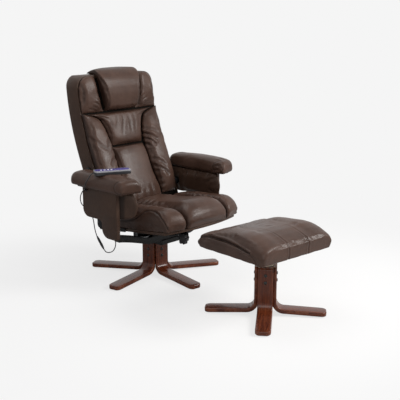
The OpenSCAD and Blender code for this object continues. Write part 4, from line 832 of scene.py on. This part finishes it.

# Each wing is gathered at its lower inner corner and hollowed along its outer edge and beside the pillow,
# with painted shade in the hollows.
wings = stuffed("wing_pads", "back_wings", "back", flat=backwards, most=0.010, warp=drop_wing)
front = coords(wings)[:, [0, 2]]
facing = face_on(wings, forwards, rightwards, leftwards)
wing_folds = (((0.122, 0.826), (0.176, 0.870)), ((0.132, 0.822), (0.196, 0.850)),
              ((0.150, 0.820), (0.214, 0.836)), ((0.120, 0.838), (0.158, 0.884)),
              ((0.118, 0.858), (0.146, 0.902)))
wing_hollow = ((0.236, 0.965), (0.229, 0.92), (0.234, 0.862))
pillow_hollow = ((0.124, 0.83), (0.124, 0.88), (0.132, 0.94), (0.150, 1.0))
fold_bow = 0.006
for side in (-1, 1):
    for a, b in wing_folds:
        middle = ((a[0] + b[0]) / 2, (a[1] + b[1]) / 2 + fold_bow)
        crease(wings, front, [(side * x, z) for x, z in (a, middle, b)], width=0.0055, deep=0.0022,
               lip=0.55, where=facing, dark=0.4)
    crease(wings, front, [(side * x, z) for x, z in wing_hollow], width=0.009, deep=0.0045, lip=0.4,
           where=facing, dark=0.8)
    crease(wings, front, [(side * x, z) for x, z in pillow_hollow], width=0.012, deep=0.0060, lip=0.2,
           fade=False, where=facing, dark=0.6)

# The pillow is a loose bag, tucked under at its lower edge, with a seam towards each end.
pillow_tuck = 0.014
pillow_tuck_z = 0.846
pillow_tuck_h = 0.036


def tuck_under(places):
    places[:, 1] += pillow_tuck * np.clip((pillow_tuck_z - places[:, 2]) / pillow_tuck_h, 0, 1) ** 2
    return places


pillow = stuffed("head_pillow", "headrest", "back", most=0.007, warp=tuck_under)
front = coords(pillow)[:, [0, 2]]
facing = face_on(pillow, (0, -1, 0.3))
pillow_seam = ((0.100, 0.82), (0.098, 0.88), (0.112, 0.94), (0.140, 1.01))
for side in (-1, 1):
    crease(pillow, front, [(side * x, z) for x, z in pillow_seam], width=0.0045, deep=0.0020, lip=0.7,
           fade=False, where=facing, dark=0.5)
crease(pillow, front, [(-0.07, 0.838), (0.0, 0.832), (0.07, 0.838)], width=0.010, deep=0.0015, where=facing,
       dark=0.1)

# The covers turn dark where they turn away from the light to the back, and ripple softly in front.
cover_wave = 0.0011
for piece, size in ((lumbar, 0.10), (upper, 0.06), (bolsters, 0.07), (wings, 0.06), (pillow, 0.12)):
    turned = np.clip((0.42 + normals(piece)[:, 1]) / 0.40, 0, 1)
    paint_shade(piece, turned * (0.62 if piece is pillow else 0.9))
    push_out(piece, cover_wave * ripple(coords(piece), size, 5) * face_on(piece, forwards))

# Black lining cloth is stapled over the board. A black sheet over it closes the gaps between the pads,
# painted shade for the depth of their seams.
black_cloth = Finish("black_lining", Base_Color=(0.007, 0.006, 0.005), Roughness=0.95,
                     Specular_IOR_Level=0.05)
weave = black_cloth.clouds(black_cloth.place(), 900, 2)
black_cloth.colour(black_cloth.blend(weave, (0.004, 0.0034, 0.003), (0.012, 0.010, 0.008)))
finish_nodes(["back_board"], black_cloth, 0.0008)


def black_shade_sheet(name, points, faces, thickness, offset):
    mesh = bpy.data.meshes.new(name)
    mesh.from_pydata(points, [], faces)
    sheet = add_piece(name, mesh)
    thick = sheet.modifiers.new("thick", "SOLIDIFY")
    thick.thickness = thickness
    thick.offset = offset
    settle(sheet)
    wear(sheet, black_cloth)
    return sheet


lining_half = back_half - 0.007
lining_lift = 0.0008
lining_columns = 25
lining_rows = 40
lining_t = np.linspace(0.035, 0.965, lining_rows)
lining_y = np.interp(lining_t, back_t, back_side[:, 0])
lining_z = np.interp(lining_t, back_t, back_side[:, 1])
points, faces = [], []
for y, z in zip(lining_y, lining_z):
    over = max(0.0, z - (back_top - back_corner))
    half = lining_half - back_corner + math.sqrt(max(back_corner ** 2 - over ** 2, 0))
    points += [(x, y + chair_y - lining_lift, z) for x in np.linspace(-half, half, lining_columns)]
for i in range(lining_rows - 1):
    for k in range(lining_columns - 1):
        a = i * lining_columns + k
        faces.append((a, a + 1, a + lining_columns + 1, a + lining_columns))
lining = black_shade_sheet("back_seam_shade", points, faces, thickness=0.0012, offset=1)
lining.data.shade_smooth()
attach(lining, "back")


# Seat: a middle cushion between two side cushions that wrap the seat board, all rolled over at the front.
# They are foam under fibre in one leather cover, sewn down along two straight seams and, on each side,
# along an arc. Plans and side views count y from the chair's axis.
downwards = (0, 0, -1)
seam_x = 0.138
seat_pad = stuffed("seat_pad", "seat_cushion", "seat", flat=downwards, most=0.009)
here = coords(seat_pad)
plan = here[:, :2] - (0, chair_y)
facing = np.clip(normals(seat_pad)[:, 2] * 2.5 + 0.4, 0, 1)
seat_folds = (((-0.128, -0.02), (-0.085, -0.045), (-0.045, -0.05)),
              ((-0.130, -0.055), (-0.09, -0.075), (-0.05, -0.078)),
              ((0.128, -0.03), (0.09, -0.05), (0.05, -0.05)),
              ((-0.13, 0.01), (-0.08, -0.012), (-0.04, -0.018)),
              ((0.13, -0.07), (0.08, -0.088)),
              ((-0.05, 0.03), (0.0, 0.022), (0.05, 0.03)))
for line in seat_folds:
    crease(seat_pad, plan, line, width=0.008, deep=0.0030, lip=0.5, where=facing, dark=0.25)
pucker_count = 7
pucker_run = 0.006
for side in (-1, 1):
    for n in range(pucker_count):
        y = -0.31 + 0.048 * n
        pucker = [(side * 0.137, y), (side * (0.112 - 0.006 * (n % 3)), y + pucker_run)]
        crease(seat_pad, plan, pucker, width=0.0065, deep=0.0014, lip=0.5, where=facing, dark=0.3)
# Painted shade along the two seams.
paint_shade(seat_pad, np.exp(-((np.abs(plan[:, 0]) - seam_x) / 0.0070) ** 2))
facing = np.clip(-normals(seat_pad)[:, 1] * 2.5 + 0.6, 0, 1) * np.clip((-0.30 - plan[:, 1]) / 0.03, 0, 1)
roll_seam = ((0.110, 0.30), (0.112, 0.36), (0.116, 0.42), (0.118, 0.46))
crease(seat_pad, here[:, [0, 2]], roll_seam, width=0.0035, deep=0.0012, lip=0.6, fade=False, where=facing,
       dark=0.35)

side_pads = stuffed("seat_side_pads", "seat_side_cushions", "seat", flat=downwards, most=0.009)
here = coords(side_pads)
side_view = here[:, 1:] - (chair_y, 0)
outward = np.clip(np.abs(normals(side_pads)[:, 0]) * 1.6 - 0.2, 0, 1) * (np.abs(here[:, 0]) > 0.19)
arc_seam = ((0.02, 0.318), (-0.06, 0.330), (-0.127, 0.350), (-0.160, 0.372), (-0.182, 0.395), (-0.215, 0.405),
            (-0.250, 0.405), (-0.285, 0.396), (-0.319, 0.373), (-0.340, 0.348), (-0.350, 0.318))
crease(side_pads, side_view, arc_seam, width=0.0036, deep=0.0030, lip=0.7, fade=False, where=outward,
       dark=0.95)
plan = np.column_stack([np.abs(here[:, 0]), here[:, 1] - chair_y])
up = np.clip(normals(side_pads)[:, 2] * 2.5 + 0.3, 0, 1)
side_folds = (((0.150, -0.18), (0.185, -0.165), (0.215, -0.17)),
              ((0.148, -0.14), (0.18, -0.125), (0.21, -0.128)),
              ((0.160, -0.08), (0.20, -0.075)),
              ((0.150, -0.215), (0.18, -0.205)))
for line in side_folds:
    crease(side_pads, plan, line, width=0.007, deep=0.0028, lip=0.5, where=up, dark=0.3)
for n in range(pucker_count):
    y = -0.30 + 0.046 * n
    pucker = [(0.1395, y), (0.162 + 0.006 * (n % 3), y + pucker_run)]
    crease(side_pads, plan, pucker, width=0.0065, deep=0.0015, lip=0.5, where=up, dark=0.3)
# Painted shade along the two seams.
paint_shade(side_pads, np.exp(-((plan[:, 0] - seam_x) / 0.0075) ** 2))
# Painted shade on the outer side faces below the arc seam, in the gap beside the arm.
arc_y, arc_z = np.array(arc_seam[::-1]).T
below_arc = np.interp(side_view[:, 0], arc_y, arc_z) - side_view[:, 1]
paint_shade(side_pads, np.clip(below_arc / 0.003, 0, 1) * outward * 0.38)

# The cushions dip and draw together at the seams, from the middle of the seat forwards, and shade is painted
# into the dips.
dip_w = 0.011
dip_down = 0.007
dip_back = 0.006
dip_across = 0.0012
seat_wave = 0.0013
for piece in (seat_pad, side_pads):
    here = coords(piece)
    from_seam = np.abs(here[:, 0]) - seam_x
    share = np.clip((-0.06 - here[:, 1] + chair_y) / 0.10, 0, 1)
    dip = np.exp(-(from_seam / dip_w) ** 2) * share
    here[:, 2] -= dip_down * dip * np.clip(normals(piece)[:, 2] + 0.2, 0, 1)
    here[:, 1] += dip_back * dip * np.clip(-normals(piece)[:, 1], 0, 1)
    here[:, 0] += dip_across * np.sign(from_seam) * np.sign(here[:, 0]) * dip
    move(piece, here)
    paint_shade(piece, np.exp(-((np.abs(here[:, 0]) - seam_x) / 0.009) ** 2) * (0.5 + 0.5 * share))
for piece, size in ((seat_pad, 0.10), (side_pads, 0.08)):
    push_out(piece, seat_wave * ripple(coords(piece), size, 8) * np.clip(normals(piece)[:, 2], 0, 1))


# Arms: boards upholstered in the duller leather, with a deep tongue, soft pads over their tops and padded
# inner faces. The top pads roll over at the front, are gathered on the roll's inner side and have a
# seam round them at the height skirt_z.
arm_sides = ((-1, "right"), (1, "left"))
arm_seam_z = 0.46
arm_seam_h = 0.03
arm_seam_closes = 0.004
roll_y = -0.178
roll_z = 0.531
roll_ry = 0.035
roll_rz = 0.031
skirt_z = 0.5035
skirt_w = 0.0028
arm_wave = 0.0012
board_x = 0.316


def raise_top(places):
    places[:, 2] += arm_seam_closes * np.clip((places[:, 2] - arm_seam_z) / arm_seam_h, 0, 1)
    return places


top_folds = ((0.302, -0.180, 0.04), (0.326, -0.186, 0.05), (0.352, -0.180, 0.04), (0.318, 0.160, -0.05),
             (0.350, 0.155, -0.05))
roll_folds = (((-0.206, 0.548), (-0.172, 0.540), (-0.14, 0.520)),
              ((-0.200, 0.520), (-0.165, 0.518), (-0.13, 0.505)),
              ((-0.204, 0.535), (-0.178, 0.529)))
inner_folds = (((-0.17, 0.478), (-0.13, 0.462), (-0.10, 0.440)), ((-0.12, 0.488), (-0.10, 0.462)),
               ((-0.03, 0.486), (-0.02, 0.455)), ((0.04, 0.484), (0.05, 0.450)),
               ((-0.16, 0.40), (-0.12, 0.41)))
for side, name in arm_sides:
    pad = stuffed(f"{name}_arm_top", f"arm_pad_{name}", "swivel", flat=downwards, most=0.007)
    here = coords(pad)
    out = normals(pad)
    flat = np.column_stack([side * here[:, 0], here[:, 1] - chair_y])
    up = np.clip(out[:, 2] * 2.5 + 0.3, 0, 1)
    for n, (x, y, run) in enumerate(top_folds):
        bowed = [(x, y), (x + 0.006 * (n % 3 - 1), y + run)]
        crease(pad, flat, bowed, width=0.008, deep=0.0014, lip=0.5, where=up, dark=0.2)
    side_view = here[:, 1:] - (chair_y, 0)
    inner = np.clip(-side * out[:, 0] * 2 + 0.2, 0, 1)
    for line in roll_folds:
        crease(pad, side_view, line, width=0.006, deep=0.0034, lip=0.5, where=inner, dark=0.5)
    drum = np.hypot((side_view[:, 0] - roll_y) / roll_ry, (side_view[:, 1] - roll_z) / roll_rz)
    ends = np.clip(np.abs(out[:, 0]) * 2 - 0.4, 0, 1) * (side_view[:, 0] < -0.1)
    rolled = np.exp(-((drum - 0.95) / 0.10) ** 2) * ends
    push_out(pad, -0.0020 * rolled, out)
    # Painted shade in the seam round the roll's end.
    paint_shade(pad, rolled * 0.75)
    skirt = np.exp(-((here[:, 2] - skirt_z) / skirt_w) ** 2) * np.clip(1 - np.abs(out[:, 2]) * 1.1, 0, 1)
    push_out(pad, -0.0016 * skirt, out)
    # Painted shade in the seam round the pad.
    paint_shade(pad, skirt * 0.7)
    push_out(pad, arm_wave * ripple(coords(pad), 0.07, 21) * up)
    # The inner pads wear the darker board leather, whose darkness on them is painted shade.
    inner_pad = stuffed(f"{name}_arm_lining", f"inner_arm_pad_{name}", "swivel", flat=(side, 0, 0),
                        most=0.006, warp=raise_top, cover=board_and_shade_hide)
    here = coords(inner_pad)
    side_view = here[:, 1:] - (chair_y, 0)
    inner = np.clip(-side * normals(inner_pad)[:, 0] * 2.5, 0, 1)
    for line in inner_folds:
        crease(inner_pad, side_view, line, width=0.008, deep=0.0030, lip=0.5, where=inner, dark=0.35)
    # Painted shadow on the inner pad's outer edge, in the gap beside the board.
    paint_shade(inner_pad, np.clip((side * here[:, 0] - board_x) / 0.008, 0, 1) * 0.95)

# Each inner pad runs out in a thin wing behind, a sheet of black lining cloth in place of leather; its black
# is painted shade for the dark gap there.
backing_x = 0.2925
backing_edge = ((0.074, 0.4975), (0.183, 0.4975), (0.183, 0.395), (0.176, 0.376), (0.156, 0.366),
                (0.074, 0.366))
for side, name in arm_sides:
    points = [(side * backing_x, chair_y + y, z) for y, z in backing_edge]
    arm_shade = black_shade_sheet(f"{name}_arm_shade_sheet", points, [tuple(range(len(points)))], thickness=0.001,
                           offset=0)
    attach(arm_shade, "swivel")

finish_nodes(["arm_board_right", "arm_board_left", "back_shell"], board_and_shade_hide, 0.004, 3)
finish_nodes(["arm_top_boards", "seat_board"], board_and_shade_hide, 0.0015)


# Stool pad: one saddle-shaped cushion on the stool's board, foam in a leather cover. A deep sewn channel
# runs along each side and turns down at the front corner, and two seams run over the pad from front to
# back. The pad stands turned on its post, and its plan and side view turn with it.
pad_turn = math.radians(-5)
pad_towards_chair = 0.012
pad_side_x = 0.15
cross_seam_x = 0.0618
cross_seam_w = 0.0032
cross_seam_lip = 0.0075
stool_wave = 0.0005
stool_pad = stuffed("stool_pad", "stool_cushion", "stool_top", flat=downwards, most=0.008)
here = coords(stool_pad)
local = here[:, :2] - stool_axis
local = np.column_stack([local[:, 0] * math.cos(pad_turn) + local[:, 1] * math.sin(pad_turn),
                         -local[:, 0] * math.sin(pad_turn) + local[:, 1] * math.cos(pad_turn)
                         - pad_towards_chair])
out = normals(stool_pad)
sideways = np.clip(np.abs(out[:, 0]) * 2.0 - 0.1, 0, 1)
side_view = np.column_stack([local[:, 1], here[:, 2]])
groove = ((0.206, 0.325), (0.198, 0.342), (0.180, 0.353), (0.150, 0.361), (0.100, 0.367), (0.030, 0.368),
          (-0.040, 0.364), (-0.090, 0.357), (-0.128, 0.350))
corner = ((-0.128, 0.352), (-0.146, 0.340), (-0.160, 0.325), (-0.166, 0.310))
# The side channels are pressed in, with painted shade in them.
for side in (-1, 1):
    beside = sideways * (side * local[:, 0] > pad_side_x) * np.clip((0.208 - local[:, 1]) / 0.022, 0, 1)
    crease(stool_pad, side_view, groove, width=0.0042, deep=0.0075, lip=0.6, fade=False, where=beside,
           dark=1.0)
    crease(stool_pad, side_view, corner, width=0.0030, deep=0.0016, lip=0.5, fade=False, where=beside,
           dark=0.45)
front_share = np.clip(-out[:, 1] * 2.2 - 0.3, 0, 1)
seam_at = np.clip(1 - np.abs(out[:, 0]) * 1.2, 0, 1) * (0.25 + 0.75 * front_share)
for x in (-cross_seam_x, cross_seam_x):
    gap = np.abs(local[:, 0] - x)
    sunk = -0.0020 * np.exp(-(gap / cross_seam_w) ** 2)
    raised = 0.0010 * np.exp(-((gap - cross_seam_lip) / cross_seam_w) ** 2)
    push_out(stool_pad, (sunk + raised) * seam_at, out)
    # Painted shade in the cross seams.
    paint_shade(stool_pad, np.exp(-(gap / 0.0026) ** 2) * seam_at * 0.6)
up = np.clip(out[:, 2] * 2.5 - 0.5, 0, 1)
stool_folds = (((-0.03, 0.03), (0.0, 0.05), (0.04, 0.045)), ((-0.02, -0.02), (0.02, -0.03)),
               ((0.01, 0.08), (0.03, 0.10)), ((-0.10, 0.05), (-0.07, 0.07)), ((0.09, 0.02), (0.12, 0.05)),
               ((-0.04, 0.10), (-0.02, 0.12)), ((0.08, -0.09), (0.12, -0.07)),
               ((-0.12, -0.08), (-0.09, -0.05)))
for line in stool_folds:
    crease(stool_pad, local, line, width=0.010, deep=0.0015, lip=0.5, where=up, dark=0.1)
push_out(stool_pad, stool_wave * ripple(coords(stool_pad), 0.12, 31) * up)


# Handset: a case moulded in two halves and sprayed silver, with a glossy blue face in a silver rim, a joint
# line across the face, four white keys and a circuit board inside. Below the split the case is painted dark,
# as painted shade on its underside. The lock knob, the control box and the cord clip are of the same black
# plastic as the connector.
handset_axis = (-0.308, chair_y - 0.042, 0)
handset_turn = math.radians(-27)
case_split = (0.5812, 0.5822)
face_half_l = 0.0835
face_half_w = 0.0243
joint_at = 0.014
joint_squares = (0.0000005, 0.0000016)
silver = Finish("silver_paint_and_shade", Base_Color=(0.27, 0.27, 0.30), Metallic=0.35, Roughness=0.34)
flake = silver.clouds(silver.place(), 2600, 2)
height = silver.add("SeparateXYZ", {}, {"Vector": silver.place()}, 2)
shine = silver.blend(flake, (0.26, 0.26, 0.285), (0.38, 0.38, 0.405))
# Painted shade: the case turns dark below the split, where its underside lies out of the light.
silver.colour(silver.blend(height.band(*case_split), (0.035, 0.035, 0.039), shine))
silver.roughness(silver.clouds(silver.place(), 70, 4).band(0.3, 0.7, 0.28, 0.42))
finish_nodes(["handset_case"], silver, 0.0012, 3)
blue = Finish("blue_face", Base_Color=(0.10, 0.08, 0.36), Roughness=0.16, Coat_Weight=0.4,
              Coat_Roughness=0.08)
smear = blue.clouds(blue.place(), 120, 4)
from_middle = blue.add("VectorMath", {"operation": "SUBTRACT"}, {0: blue.place(), 1: handset_axis})
lengthways = (math.cos(handset_turn), math.sin(handset_turn), 0)
sideways = (-math.sin(handset_turn), math.cos(handset_turn), 0)
along, across = (blue.add("VectorMath", {"operation": "DOT_PRODUCT"}, {0: from_middle, 1: way}, "Value")
                 for way in (lengthways, sideways))
rim = (along * along * face_half_l ** -2) ** 3 + (across * across * face_half_w ** -2) ** 3
from_joint = along - joint_at
joint_line = (from_joint * from_joint).band(*joint_squares, 0.8, 0.0)
tinted = blue.blend(smear, (0.085, 0.075, 0.33), (0.13, 0.12, 0.42))
tinted = blue.blend(joint_line, tinted, (0.40, 0.42, 0.50))
blue.colour(blue.blend(rim.band(0.80, 1.05), tinted, (0.42, 0.42, 0.45)))
blue.roughness(smear.band(0.3, 0.7, 0.13, 0.26))
finish_nodes(["handset_face"], blue, 0.0012, 3)
key = Finish("white_keys", Base_Color=(0.8, 0.8, 0.84), Roughness=0.3)
key.roughness(key.clouds(key.place(), 300, 3).band(0.3, 0.7, 0.25, 0.4))
key.colour(key.blend(key.clouds(key.place(), 90, 3), (0.74, 0.74, 0.78), (0.86, 0.86, 0.90)))
finish_nodes([f"handset_button_{i}" for i in range(1, 5)], key, 0.0006)
board_green = Finish("circuit", Base_Color=(0.03, 0.16, 0.07), Roughness=0.35)
tracks = board_green.cells(board_green.place(), 500)
board_green.colour(board_green.blend(tracks.band(0.1, 0.4), (0.05, 0.22, 0.09), (0.02, 0.12, 0.05)))
wear(nodes["handset_circuit"], board_green)
wear(nodes["cord_clip"], plastic)
finish_nodes(["lock_knob", "control_box"], plastic, 0.0016, 3)
